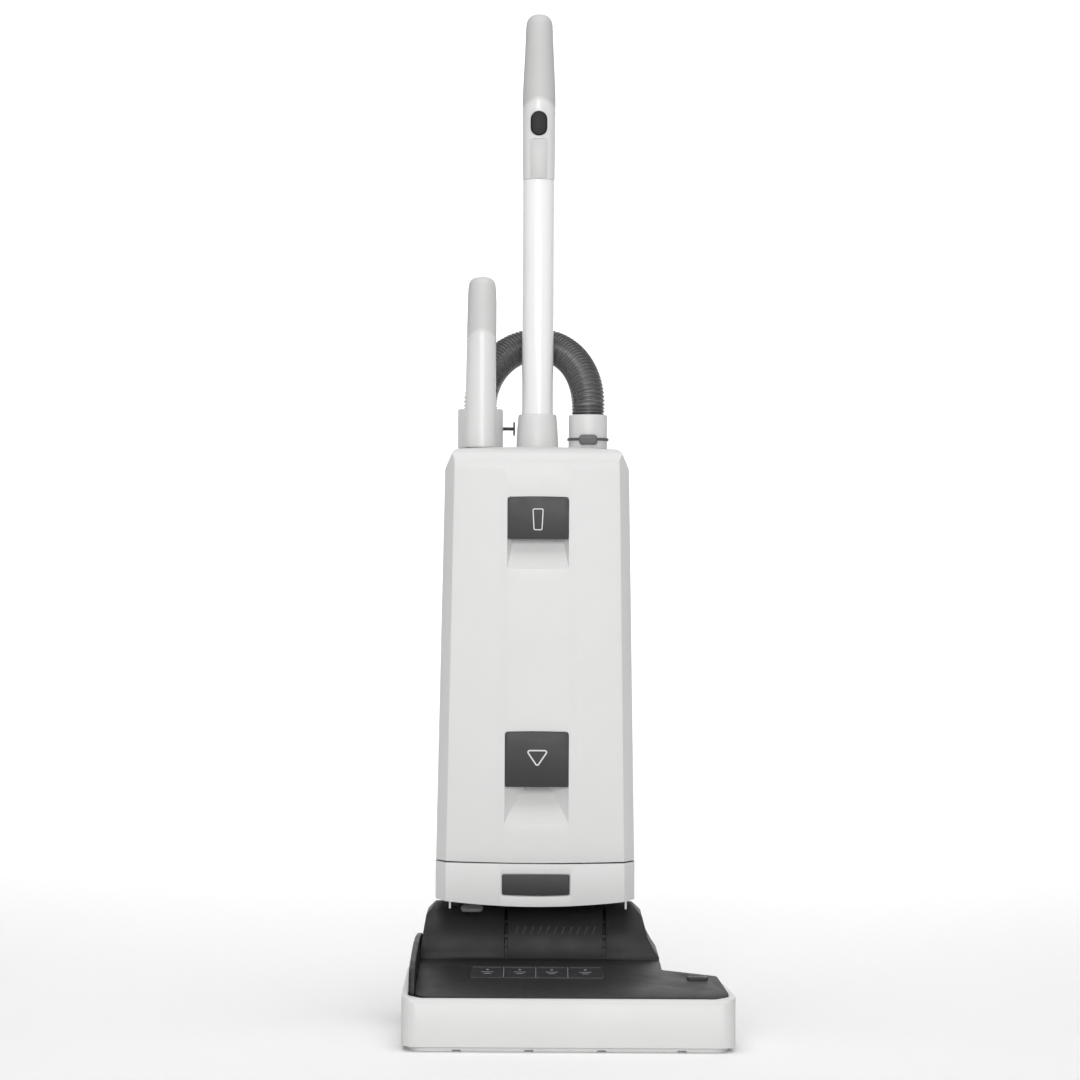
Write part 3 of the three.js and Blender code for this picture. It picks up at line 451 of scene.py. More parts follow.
def fleece(name, colour):
    """Bonded fibre fleece: long tangled fibres over a point-bonded grid."""
    n = Nodes(name)
    tangle = n.noise(900, 5, 0.75, n.stretched((1, 1, 0.3)))
    cross = n.noise(900, 5, 0.75, n.stretched((0.3, 1, 1)))
    fibres = n.math("MAXIMUM", tangle, cross)
    grid = n.cells(420, 0.25)
    colour_out = n.shades(fibres, colour, 0.84, 1.05, 0.4, 0.75)
    height = n.math("ADD", fibres, n.math("MULTIPLY", grid, 0.7))
    return n.link(Base_Color=colour_out, Roughness=0.95, Normal=n.bump(height, 0.5, 0.0004), Sheen_Weight=0.3,
                  Specular_IOR_Level=0.2)


def card(name, colour):
    n = Nodes(name)
    fibres = n.noise(700, 5, 0.8, n.stretched((0.25, 1, 1)))
    flecks = n.noise(190, 3, 0.6)
    colour_out = n.shades(flecks, colour, 0.86, 1.1, 0.35, 0.7)
    return n.link(Base_Color=colour_out, Roughness=0.9, Normal=n.bump(fibres, 0.35, 0.0002),
                  Specular_IOR_Level=0.25)


def bristles(name, colour):
    n = Nodes(name)
    strands = n.noise(1500, 3, 0.7)
    colour_out = n.shades(strands, colour, 0.6, 2.2, 0.4, 0.7)
    return n.link(Base_Color=colour_out, Roughness=0.55, Normal=n.bump(strands, 0.5, 0.0002))


LIGHT_GREY = (0.64, 0.64, 0.635)
GRIP_GREY = (0.56, 0.56, 0.555)
DARK_SHELL = (0.019, 0.019, 0.0195)
DARK_PANEL = (0.026, 0.026, 0.028)
FINISH = {
    "light_shell": moulded("light_shell", LIGHT_GREY, 0.44, 0.22),
    "dark_shell": moulded("dark_shell", DARK_SHELL, 0.50, 0.4, 0.08, specular=0.32),
    "dark_panel": moulded("dark_panel", DARK_PANEL, 0.42, 0.3, 0.06, specular=0.36),
    "grey_grip": moulded("grey_grip", GRIP_GREY, 0.52, 0.45, 0.02, grain_scale=1300),
    "white_tube": lacquered("white_tube", (0.84, 0.84, 0.84)),
    "steel": metal("steel", (0.56, 0.57, 0.58), 0.32),
    "alloy": metal("alloy", (0.52, 0.53, 0.54), 0.42, "Z"),
    "inner_plastic": moulded("inner_plastic", (0.15, 0.155, 0.165), 0.5, 0.3, 0.04),
    "rubber": rubber("rubber", (0.022, 0.022, 0.023)),
    "tyre": rubber("tyre", (0.035, 0.035, 0.036), 0.7),
    "bristle": bristles("bristle", (0.012, 0.013, 0.016)),
    "hose_plastic": moulded("hose_plastic", (0.062, 0.062, 0.065), 0.25, 0.12, 0.08, specular=0.9),
    "fleece": fleece("fleece", (0.74, 0.72, 0.66)),
    "card": card("card", (0.50, 0.36, 0.20)),
}


def grip_finish(name, middle, top, base, zone):
    """Smooth light grey plastic below a bowed edge, and a darker, rougher grey above it."""
    n = Nodes(name)
    place = n.node("SeparateXYZ", {0: n.place}).outputs
    side = n.math("ABSOLUTE", n.math("SUBTRACT", place["X"], middle))
    edge = n.math("SUBTRACT", top, n.math("MULTIPLY", n.math("MULTIPLY", side, side), 26.0))
    upper = n.span(n.math("SUBTRACT", place["Z"], edge), 0, 1, -0.004, 0.004)
    fine = n.noise(1400, 2, 0.6)
    broad = n.noise(12, 3)
    smooth = n.shades(broad, base, 0.98, 1.02)
    matt = n.shades(broad, zone, 0.97, 1.02)
    strength = n.span(upper, 0.08, 0.5)
    return n.link(Base_Color=n.blend(upper, smooth, matt), Roughness=n.span(upper, 0.26, 0.55),
                  Normal=n.bump(n.math("MULTIPLY", fine, strength), 0.6, 0.00012))


WAND_FINISH = grip_finish("wand_grip", -0.112, 0.868, (0.69, 0.69, 0.685), GRIP_GREY)
HANDLE_FINISH = grip_finish("handle_grip", -0.042, 1.162, (0.70, 0.70, 0.695), (0.52, 0.52, 0.515))
STRIP_FINISH = moulded("grip_strip", (0.57, 0.57, 0.565), 0.5, 0.4, 0.03)
SWITCH_FINISH = moulded("switch", (0.007, 0.007, 0.008), 0.46, 0.2, 0.05, specular=0.22)
CLIP_FINISH = moulded("clip", (0.095, 0.095, 0.098), 0.45, 0.3, 0.05)
PANEL_FINISH = moulded("indicator_panel", (0.040, 0.040, 0.043), 0.24, 0.08, 0.06)
MARK_FINISH = moulded("panel_marks", (0.30, 0.30, 0.305), 0.45, 0.1, 0.05)
# Drum ribs: a dark grey lighter than the shell, painted highlight along the raised ribs.
RIB_HIGHLIGHT_FINISH = moulded("drum_ribs_painted_highlight", (0.045, 0.045, 0.047), 0.45, 0.2, 0.05)
# The pedal cap is light grey like the body; this mid grey is painted shade from the base above it.
PEDAL_SHADE_FINISH = moulded("pedal", (0.22, 0.22, 0.22), 0.5, 0.4, 0.04)
EMBLEM_FINISH = moulded("emblem", (0.62, 0.62, 0.62), 0.4, 0.15, 0.03)
for node_name, node_object in frame["nodes"].items():
    dress(node_object, FINISH[NODE_SLOT[node_name]], 35)


# ---------------------------------------------------------------- hose
PORT = (63.8, 80)  # hose port, in body coordinates
COLLAR = (-72, 93)  # hose socket of the wand
HOSE_R = 20.2
HOSE_SEAT_Z = 749
HOSE_ARC_Z = 778
HOSE_RISE = 78
HOSE_LEAN = 42
RIB_PITCH = 4.3


def hose_path(steps=96):
    """The hose's middle line: up from the port, over the arch behind the handle, down into the collar."""
    middle, half = (PORT[0] + COLLAR[0]) / 2, (PORT[0] - COLLAR[0]) / 2
    path = [(PORT[0], PORT[1], HOSE_SEAT_Z + (HOSE_ARC_Z - HOSE_SEAT_Z) * i / 14) for i in range(14)]
    for i in range(steps + 1):
        angle = math.pi * i / steps
        bulge = math.sin(angle) ** 2
        lean = PORT[1] + (COLLAR[1] - PORT[1]) * i / steps + HOSE_LEAN * bulge
        path.append((middle + half * math.cos(angle) + 4 * bulge, lean,
                     HOSE_ARC_Z + HOSE_RISE * math.sin(angle)))
    path += [(COLLAR[0], COLLAR[1], HOSE_ARC_Z - (HOSE_ARC_Z - HOSE_SEAT_Z) * i / 14) for i in range(1, 15)]
    return [Vector(p) for p in path]


def along(path):
    """Distance of each point from the start of a path."""
    made = [0.0]
    for a, b in zip(path, path[1:]):
        made.append(made[-1] + (b - a).length)
    return made


def resampled(path, step):
    """The path again at about equal steps."""
    far = along(path)
    count = round(far[-1] / step)
    made, k = [], 0
    for i in range(count + 1):
        target = far[-1] * i / count
        while k < len(path) - 2 and far[k + 1] < target:
            k += 1
        share = (target - far[k]) / (far[k + 1] - far[k])
        made.append(path[k].lerp(path[k + 1], share))
    return made


def make_hose():
    """A helical stretch hose: narrow round crests with a wire under each, and softer valleys between them."""
    path = resampled(hose_path(), RIB_PITCH / 8)
    far = along(path)

    def section(i):
        ends = min(1.0, max(0.0, (min(far[i], far[-1] - far[i]) - 14) / 6))
        crest = HOSE_R + 0.9 * ends
        waves = [0.5 + 0.5 * math.cos(2 * math.pi * (far[i] / RIB_PITCH) - turn) for turn in full_turn(56)]
        return [crest - 1.9 * (1 - wave ** 0.8) for wave in waves]

    hose = loft("stretch_hose", sweep(path, [section])[0])
    hose.data.transform(BODY_SHIFT)
    hose.data.shade_smooth()
    hose.data.materials.append(FINISH["hose_plastic"])
    shift = Vector((BODY_X, 0, 0))
    middle_line = [(p + shift) * MM for p in resampled(hose_path(), 5)]
    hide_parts("hose")
    round(along(hose_path())[-1] * MM, 3)
    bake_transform(hose)


make_hose()


# ---------------------------------------------------------------- stage and light
def make_stage():
    """A pale floor that curves up into a wall behind the object."""
    size, rise, foot = 9.0, 2.2, 2.4
    bend = [(foot + rise * math.sin(a), rise * (1 - math.cos(a)))
            for a in (math.pi / 2 * i / 12 for i in range(1, 13))]
    profile = [(-size, 0.0), (foot, 0.0)] + bend + [(foot + rise, 9)]
    verts = [(x, y, z) for y, z in profile for x in (-size, size)]
    faces = [(2 * i, 2 * i + 1, 2 * i + 3, 2 * i + 2) for i in range(len(profile) - 1)]
    mesh = bpy.data.meshes.new("floor")
    mesh.from_pydata(verts, [], faces)
    mesh.shade_smooth()
    floor = placed("floor", mesh)
    n = Nodes("floor")
    n.link(Base_Color=n.blend(n.noise(0.6, 2), (0.94, 0.94, 0.94, 1), (0.95, 0.95, 0.95, 1)), Roughness=0.9,
           Specular_IOR_Level=0.1)
    mesh.materials.append(n.material)


def area_light(name, place, aim, size, power):
    data = bpy.data.lights.new(name, "AREA")
    data.shape, data.size, data.size_y, data.energy = "RECTANGLE", *size, power
    light = placed(name, data)
    light.location = place
    light.rotation_euler = (Vector(aim) - Vector(place)).to_track_quat("-Z", "Y").to_euler()


def light_scene():
    """White surroundings, soft light from the front and above, and one light for the wall."""
    world = bpy.data.worlds.new("studio")
    bpy.context.scene.world = world
    world.use_nodes = True
    sky = world.node_tree.nodes["Background"]
    sky.inputs["Color"].default_value = (1, 1, 1, 1)
    sky.inputs["Strength"].default_value = 0.24
    area_light("key", (-0.5, -4.6, 1.9), (0, 0, 0.5), (1.8, 1.8), 78)
    area_light("fill", (0.9, -4.6, 1.0), (0, 0, 0.5), (1.6, 2.2), 42)
    area_light("top", (0, -0.9, 4.0), (0, -0.9, 0), (4.0, 3.0), 88)
    area_light("wall", (0, 2.0, 3.4), (0, 4.6, 1.4), (2.6, 1.0), 85)
    bpy.context.scene.view_settings.view_transform = "Standard"


# ---------------------------------------------------------------- handle
HANDLE_Y = 80
GRIP_Z = 1061
GRIP_TOP = 1272
SWITCH_Z = 1130.5
STRIP_Z = 1086.3
SCREW_Z = 744
SOCKET_Z = 722.6


def grip_lean(point):
    """The grip leans back a little towards its top."""
    x, y, z = point
    return x, y + 12 * max(0, (z - GRIP_Z) / (GRIP_TOP - GRIP_Z)) ** 2, z


def make_handle():
    show(ring("tube", 18.1, 19.8, 690.2, 1060.6, "Z", (0, HANDLE_Y), 0.5, 80), "upright", "white_tube",
         "handle_tube")

    side = curve([(20.25, 1063), (20.4, 1072), (20.6, 1100), (20.8, 1130), (20.7, 1162), (20.0, 1185),
                  (18.6, 1213), (17.5, 1238), (16.9, 1254)], 5)
    top = [(16.9 * math.cos(a) ** 0.72, 1254 + 18 * math.sin(a) ** 0.9)
           for a in (math.pi / 2 * k / 12 for k in range(1, 12))]
    profile = [(0.01, 1031), (17.0, 1031), (17.6, 1031.8), (17.6, 1060.8), (19.4, 1060.9), (20.1, 1061.6)]
    grip = turned("grip", profile + side + top + [(0.01, GRIP_TOP)], "Z", (0, HANDLE_Y), 72)
    well = prism("well", rounded_rect(21.2, 31.2, 10.5, 0, SWITCH_Z, 10), "Y", 40, 70.5)
    bed = prism("bed", rounded_rect(23.2, 50.6, 1.6, 0, STRIP_Z, 4), "Y", 40, HANDLE_Y - 18.6)
    cut(grip, well, bed)
    show(reshape(bevel(grip, 0.6, 2, 50), grip_lean), "upright", "grey_grip", "handle_grip",
         material=HANDLE_FINISH)

    bulge = [(0.01, 1061.6), (20.3, 1061.6), (20.9, 1062.4), (21.1, 1086), (21.0, 1110.4), (20.4, 1111.2),
             (0.01, 1111.2)]
    barrel = turned("barrel", bulge, "Z", (0, HANDLE_Y), 96)
    strip = prism("strip", rounded_rect(22.4, 49.4, 1.4, 0, STRIP_Z, 4), "Y", 40, HANDLE_Y - 18.2)
    show(bevel(common(strip, barrel), 0.5, 2, 40), "upright", "grey_grip", "grip_plate",
         material=STRIP_FINISH)

    outline = rounded_rect(20, 30, 9.9, 0, SWITCH_Z, 12)
    button = prism("switch", outline, "Y", HANDLE_Y - 22.2, HANDLE_Y - 11, bottom=1.6, steps=4)

    def hollowed(p):
        """The face of the switch dips between its two ends."""
        return p.x, p.y - (1.1 * ((p.z - SWITCH_Z) / 15) ** 2 - 0.6) if p.y < HANDLE_Y - 18 else p.y, p.z

    reshape(button, hollowed)
    show(bevel(button, 0.25, 2, 45), "power_switch", "dark_panel", "power_switch", material=SWITCH_FINISH)


def make_handle_socket():
    profile = fillet([(20.1, SOCKET_Z), (26.6, SOCKET_Z), (25.9, 738), (24.3, 762), (23.5, 765), (20.1, 765)],
                     [0.3, 0.8, 14, 3, 0.8, 0.5], 5)
    sleeve = turned("socket", profile, "Z", (0, HANDLE_Y), 80, hollow=True)
    hole = rod("hole", 3.4, HANDLE_Y, HANDLE_Y + 40, "Y", (0, SCREW_Z), 24)
    flat = prism("flat", circle(8.4, 0, SCREW_Z, 40), "Y", HANDLE_Y + 27, HANDLE_Y + 50)
    show(bevel(cut(sleeve, hole, flat), 0.3, 2, 50), "upright", "light_shell", "handle_socket")

    outline = [polar((0, SCREW_Z), 7.2 + 0.35 * math.cos(24 * a), a) for a in full_turn(144)]
    knob = prism("screw", outline, "Y", HANDLE_Y + 27.9, HANDLE_Y + 34, 0.9)
    slot = block((-5, 5), (HANDLE_Y + 32.6, HANDLE_Y + 36), (SCREW_Z - 0.7, SCREW_Z + 0.7))
    shank = rod("shank", 3, HANDLE_Y + 20.4, HANDLE_Y + 29, "Y", (0, SCREW_Z), 24)
    show(cut(join(knob, shank), slot), "upright", "dark_panel", "handle_screw")


# ---------------------------------------------------------------- wand and hose port
PORT_R = 24.4
CLIP_Z = 733.2
COLLAR_R = 28.8
COLLAR_TOP = 772
WAND = (-70, 52)
WAND_R = 17.9
CATCH_Z = 747.4


def make_port():
    seat = HOSE_R + 0.6
    corners = [(18.4, SOCKET_Z), (PORT_R, SOCKET_Z), (PORT_R, 765), (seat, 765), (seat, HOSE_SEAT_Z - 0.3),
               (18.4, HOSE_SEAT_Z - 3.3)]
    profile = fillet(corners, [0.2, 0.4, 1.8, 1.0, 0.2, 0.5], 4)
    show(turned("port", profile, "Z", PORT, 80, hollow=True), "upright", "light_shell", "hose_port")

    band = ring("band", PORT_R + 0.3, PORT_R + 1.7, 732.2, 735.6, "Z", PORT, 0.5, 72)
    front = PORT[1] - PORT_R
    face = prism("tab", rounded_rect(22.6, 12.5, 4, PORT[0], CLIP_Z, 8), "Y", front - 4.6, front + 4,
                 bottom=1.1)
    core = rod("core", PORT_R + 0.3, 700, 760, "Z", PORT, 72)
    groove = prism("groove", rounded_rect(12, 1.0, 0.45, PORT[0], CLIP_Z, 3), "Y", 40, front - 4.1)
    tab = cut(face, core, groove)
    show(join(tab, band), "upright", "dark_panel", "hose_clip", material=CLIP_FINISH)


def wand_flare(point):
    """The outer side of the wand's grip widens a little towards its foot."""
    x, y, z = point
    foot = min(1.0, max(0.0, (900 - z) / 165))
    return (x - 3.4 * foot * ((WAND[0] - x) / WAND_R) ** 2 if x < WAND[0] else x), y, z


def make_wand():
    low = [(0.01, SOCKET_Z), (WAND_R - 0.5, SOCKET_Z), (WAND_R, SOCKET_Z + 0.6), (WAND_R, 862)]
    high = curve([(WAND_R + 0.1, 870), (WAND_R + 0.15, 890), (WAND_R, 908), (17.3, 921), (15.9, 929),
                  (12, 933.8), (6, 935.7), (0.01, 936)], 5)
    low[3:3] = [(WAND_R, SOCKET_Z + 12 * k) for k in range(1, 12)]
    bar = reshape(turned("bar", low + high, "Z", WAND, 72), wand_flare)
    profile = [(0.01, SOCKET_Z), (COLLAR_R, SOCKET_Z), (COLLAR_R, COLLAR_TOP), (0.01, COLLAR_TOP)]
    collar = turned("collar", fillet(profile, [0, 0.8, 2.0, 0], 4), "Z", COLLAR, 84)
    profile = [(0.01, HOSE_SEAT_Z - 0.3), (HOSE_R + 0.6, HOSE_SEAT_Z - 0.3), (HOSE_R + 0.6, 770.6),
               (HOSE_R + 2.4, 772.4), (HOSE_R + 2.4, 800), (0.01, 800)]
    seat = turned("seat", fillet(profile, [0, 0.4, 0.6, 0, 0, 0], 3), "Z", COLLAR, 84)
    passage = rod("passage", 14, 728.6, 752, "Z", COLLAR, 48)
    spigot = rod("spigot", 15.2, 700, 736.6, "Z", WAND, 48)
    bridge = block((COLLAR[0] - 9, COLLAR[0] + 9), (WAND[1], COLLAR[1]), (728.6, 735.6))
    bore = rod("bore", 2.6, COLLAR[0] + 23, COLLAR[0] + 43, "X", (COLLAR[1], CATCH_Z), 24)
    grip = cut(join(bar, collar), seat, passage, spigot, bridge, bore)
    show(grip, "wand", "grey_grip", "wand_grip", material=WAND_FINISH)

    profile = [(0.01, COLLAR[0] + 27), (2.1, COLLAR[0] + 27), (2.1, -30), (0.01, -30)]
    stem = turned("stem", fillet(profile, [0, 0.4, 0, 0], 3), "X", (COLLAR[1], CATCH_Z), 24)
    pad = prism("pad", rounded_rect(14, 17, 2.4, COLLAR[1], CATCH_Z, 6), "X", -30.6, -28.4, 0.7)
    show(join(stem, pad), "wand_catch", "dark_panel", "wand_catch")
    show(ring("wand_pipe", 13.2, 14.8, 262, 736.2, "Z", WAND, 0.4, 48), "wand", "white_tube", "wand_tube")


make_handle()
make_handle_socket()
make_port()
make_wand()


# ---------------------------------------------------------------- tall casing
BASE_HALF = 123.6
SEAM_Z = 208
BODY_TOP = 722
SHOULDER_Z = 696
SHOULDER_HALF = 114.3
BODY_FRONT = -6
BODY_REAR = 155
PARTING_Y = 30
SHELL = 3
STRIP_X = 1.5  # middle of the front's raised strip
GRILLE = (30, 254)
INLET = (60, 690)
HOOK_Z = {"upper": 640, "lower": 380}


def body_plan(shrink, crown=0.0):
    """Counter-clockwise plan of the body: a bowed front between cut-back corners, and round rear corners."""
    half, front, rear = BASE_HALF - shrink, BODY_FRONT + shrink, BODY_REAR - shrink
    corner = 110.6 - shrink * 0.6
    right = [(corner - 6, front + 4.5), (corner, front + 5), (half - 1, front + 22), (half, front + 27),
             (half, 40)]
    right = fillet(right, [0, 1.6, 3, 3, 0], 4, closed=False)[1:-1]
    back = quad((half, rear - 18), (half, rear), (half - 18, rear), 8)
    side = [(half, y) for y in (30, 60, 90, 120)] + [(half, rear - 18)] + back
    bow = []
    for i in range(1, 40):
        x = -corner + 2 * corner * i / 40
        bow.append((x, front + 5 - 5 * (1 - (x / corner) ** 2) - crown * panel_rise(x)))
    mirror = [(-x, y) for x, y in reversed(right + side)]
    return bow + right + side + mirror


def panel_rise(x):
    """The middle strip of the front stands a little proud, with soft edges."""
    return max(0.0, min(1.0, (46.5 - abs(x - STRIP_X)) / 4.0))


def half_at(z):
    """Half the width of the casing at a height."""
    seam_half = BASE_HALF - 0.4
    return seam_half - (z - SEAM_Z) * (seam_half - SHOULDER_HALF) / (SHOULDER_Z - SEAM_Z)


def body_solid(name, shrink, low, crown=0.0):
    """The whole casing: a tapered prism within the front view's shoulders and the side view's round brow."""
    levels = [low + (BODY_TOP + 6 - low) * i / 30 for i in range(31)]
    plan = body_plan(shrink, crown)
    rings = []
    for z in levels:
        share = (half_at(z) - shrink) / (BASE_HALF - shrink)
        rings.append([(x * share, y, z) for x, y in plan])
    tapered = loft(name, rings)
    i = shrink
    top = [(99.5 - i, 719.9 - i)] + quad((99.5 - i, 719.9 - i), (0, 725.8 - i), (i - 99.5, 719.9 - i), 20)
    right = [(135, low - 1), (135, 640), (115.3 - i, 690), (113.7 - i, SHOULDER_Z), (104.5 - i, 716.6 - i)]
    outline = right + top + [(-x, z) for x, z in reversed(right)]
    radii = [0, 0, 0, 6, 5, 5] + [0] * 19 + [5, 5, 6, 0, 0, 0]
    front = prism("front", fillet(outline, radii, 5), "Y", -40, 180)
    face = BODY_FRONT + i - 0.5
    brow = [(face, 688)] + quad((face, 688), (BODY_FRONT + 4 + i, 721 - i), (28, 724.6 - i), 16)
    rear = quad((129 - i, 724.6 - i), (BODY_REAR + 0.5 - i, 724.6 - i), (BODY_REAR + 0.5 - i, 690), 12)
    outline = [(170, low - 1), (170, 650), (BODY_REAR + 0.5 - i, 690)] + rear[::-1][1:] + [(129 - i,
                                                                                            724.6 - i)]
    outline += brow[::-1] + [(BODY_FRONT + i - 2.6, 658), (-30, 630), (-30, low - 1)]
    side = prism("side", outline, "X", -150, 150)
    return common(tapered, front, side)


def latch_scoop(top, bottom, runout, depth, pinch, curl, sides):
    """The finger scoop below and behind a latch: slanted sides, and a floor that runs out to the front."""
    clear = BODY_FRONT - 24
    side = [(clear, runout - 1), (BODY_FRONT - 2.0, runout - 1), (BODY_FRONT + 0.2, runout),
            (depth, bottom + 3), (depth, top - 16), (-1, top - 8), (clear, top - 8)]
    scoop = prism("scoop", fillet(side, [0, 0, 14, 7, 8, 0, 0], 6), "X", sides[0] - 0.6, sides[1] + 0.6)
    work = bmesh.new()
    work.from_mesh(scoop.data)
    for step in range(5):
        level = BODY_FRONT + (depth - BODY_FRONT) * step / 5
        bmesh.ops.bisect_plane(work, geom=work.verts[:] + work.edges[:] + work.faces[:], dist=1e-6,
                               plane_co=(0, level * MM, 0), plane_no=(0, 1, 0))
    work.to_mesh(scoop.data)
    work.free()

    def narrow(p):
        """The sides of the scoop draw together towards its floor."""
        share = max(0, p.y - BODY_FRONT) / (depth - BODY_FRONT)
        return STRIP_X + (p.x - STRIP_X) * (1 - pinch * share ** curl), p.y, p.z

    return reshape(scoop, narrow)


UPPER = {"top": 660, "bottom": 608, "runout": 572, "depth": 11, "pinch": 0.20, "curl": 1.0,
         "sides": (-35.8, 39.2)}
LOWER = {"top": 370, "bottom": 302, "runout": 257, "depth": 19, "pinch": 0.70, "curl": 1.15,
         "sides": (-37.6, 40.4)}


def latch_outline(bay, grow):
    """A latch's face, with a slightly crowned top edge."""
    left, right = bay["sides"][0] - grow, bay["sides"][1] + grow
    low, high = bay["bottom"] - grow, bay["top"] - 0.5 + grow
    top = [(x, high + 0.7 * (1 - ((x - STRIP_X) / 38.7) ** 2)) for x in (30, 20, 10, 0, -10, -20, -30)]
    radii = [1.6, 1.6, 4] + [0] * 7 + [4]
    return fillet([(left, low), (right, low), (right, high)] + top + [(left, high)], radii, 5)


def make_front_cover():
    """The tall cover, with a walled bay and a finger scoop for each latch."""
    shell = cut(body_solid("cover", 0, SEAM_Z + 0.2, 0.8), body_solid("hollow", SHELL, SEAM_Z - 5))
    cover = common(shell, block((-140, 140), (-40, PARTING_Y), (SEAM_Z, 760)))
    walls = [block((-42, 45), (BODY_FRONT + 1.5, bay["depth"] + SHELL), (bay["runout"] + 4, bay["top"] + 5))
             for bay in (UPPER, LOWER)]
    join(cover, *[common(wall, body_solid("limit", 1, SEAM_Z)) for wall in walls])
    tools = []
    for bay in (UPPER, LOWER):
        tools.append(latch_scoop(**bay))
        tools.append(prism("seat", latch_outline(bay, 0.7), "Y", -40, -1.4))
    cut(cover, *tools)
    bevel(reshape(cover, seam_bow), 0.9, 3, 33)
    show(cover, "front_cover", "light_shell", "front_cover", sharp=30)


def make_rear_casing():
    shell = cut(body_solid("casing", 0, SEAM_Z + 0.2), body_solid("hollow", SHELL, SEAM_Z - 5))
    casing = common(shell, block((-140, 140), (PARTING_Y + 0.4, 170), (SEAM_Z, 760)))
    tools = [rod("hole", r, 600, 760, "Z", at, 56)
             for r, at in ((19.2, WAND), (20.3, (0, HANDLE_Y)), (19, PORT))]
    tools.append(prism("window", rounded_rect(120, 72, 1, *GRILLE, 2), "Y", 140, 170))
    bores = ((4.4, 0, HOOK_Z["upper"]), (4.4, 0, HOOK_Z["lower"]), (6.4, *INLET))
    tools += [prism("bore", circle(r, x, z, 32), "Y", 140, 170) for r, x, z in bores]
    cut(casing, *tools)
    bevel(reshape(casing, seam_bow), 0.6, 2, 33)
    show(casing, "upright", "light_shell", "rear_casing", sharp=30)


def make_latch(body, bay):
    """A panel bowed like the cover."""
    slab = prism("latch", latch_outline(bay, 0), "Y", -12, -2.2)
    limit = prism("limit", body_plan(-0.5, 0.8), "Z", 200, 760)
    show(bevel(common(slab, limit), 0.7, 3, 40), body, "dark_panel", body, sharp=40)


def emblem_piece(name, outer, hole, body):
    """A light raised line between two outlines on a latch face."""
    rings = []
    for outline, y in ((outer, -7.4), (outer, -8.05), (hole, -8.05), (hole, -7.4)):
        rings.append([(u, y - 0.9 + 0.9 * ((u - STRIP_X) / 46) ** 2, v) for u, v in outline])
    show(loft(name, rings, round_trip=True), body, "light_shell", material=EMBLEM_FINISH)


def make_latches():
    make_latch("upper_latch", UPPER)
    bag = fillet([(-4, 619), (7, 619), (8.5, 646), (-5.5, 646)], 2.4, 5)
    emblem_piece("bag_mark", bag, inset(bag, 1.3), "upper_latch")
    make_latch("lower_latch", LOWER)
    arrow = fillet([(2, 326), (17, 348), (-13, 348)], 3, 5)
    emblem_piece("pull_mark", arrow, inset(arrow, 1.8), "lower_latch")


def belly(name, rise):
    """What lies above the base's bowed underside."""
    under = [(x, 161.5 + rise - 7.5 * (1 - (x / BASE_HALF) ** 2)) for x in range(-132, 133, 8)]
    return prism(name, under + [(132, 240), (-132, 240)], "Y", -30, 175)


def plate_outline(grow):
    """The dark plate on the base: nearly straight, with a slightly bowed lower edge."""
    left, right, low, high = -40.8 - grow, 42.8 + grow, 168.8 - grow, 193.8 + grow
    under = [(x, low - 1.1 * (1 - ((x - 1) / 41.8) ** 2)) for x in (-30, -20, -10, 0, 10, 20, 30)]
    radii = [2.2] + [0] * 7 + [2.2, 2.2, 2.2]
    return fillet([(left, low)] + under + [(right, low), (right, high), (left, high)], radii, 5)


def seam_bow(point):
    """The seam between base and casing climbs a little towards both sides."""
    x, y, z = point
    near = max(0.0, 1 - abs(z - SEAM_Z) / 6)
    return x, y, z + 1.8 * (x / 120) ** 2 * near


def make_base():
    outer = prism("base", body_plan(0, 0.8), "Z", 140, SEAM_Z - 1.4)
    common(outer, belly("under", 0))
    hollow = prism("hollow", body_plan(4), "Z", 140, 230)
    common(hollow, belly("over", SHELL))
    cut(outer, hollow)
    tools = [block((-33, 9), (69, 107), (140, 170)),
             prism("bed", plate_outline(1.2), "Y", -20, -4.3)]
    tools += [block((22 + 14 * i, 30 + 14 * i), (60, 110), (150, 163)) for i in range(5)]
    cut(outer, *tools)
    join(outer, *[block((x - 1.2, x + 1.2), (3, 9), (150.5, 163)) for x in (-105.2, 112.5)])
    bevel(reshape(outer, seam_bow), 0.8, 3, 33)
    show(outer, "upright", "light_shell", "base_housing", sharp=30)

    plate = prism("plate", plate_outline(0), "Y", -12, -4.5)
    common(plate, prism("limit", body_plan(-1.4), "Z", 150, 210))
    bevel(plate, 0.6, 3, 40)
    show(plate, "upright", "dark_panel", "base_plate", sharp=40)


make_front_cover()
make_rear_casing()
make_latches()
make_base()


# ---------------------------------------------------------------- floor head
HEAD_HALF = 200
HEAD_FRONT = -170
DECK_FRONT_Z = 64.5
PIVOT = (88, 90)
DRUM_R = 60
DRUM_X = (-34, 85)
BRUSH = (-112, 33)
MOTOR = (-18, 48)
PANEL_X = (-120.6, 42.6)
PANEL_Y = (-79.6, -30.4)
BUTTON_X = (143.3, 167.7)
BUTTON_Y = (-83.7, -72.3)
CREASE_Y = -22
PEDAL_X = -121
PEDAL_STROKE = Vector((0, -0.57982, 0.81475))
AXLE = (114, 30)
WHEEL_X = {"left": -165, "right": 75}


def deck_z(y):
    """Height of the sloping deck."""
    return DECK_FRONT_Z + 0.14 * (y + 165)


def head_plan(shrink, left, front, rear):
    """Plan of the floor head, narrower behind its right front part."""
    l, f, r = left + shrink, front + shrink, HEAD_HALF - shrink
    corners = [(l, f), (r, f), (r - 13, -60 - shrink), (121 - shrink, -34 - shrink),
               (120 - shrink, rear - shrink), (l, rear - shrink)]
    return fillet(corners, [20, 20, 7, 6, 5, 2], 8)


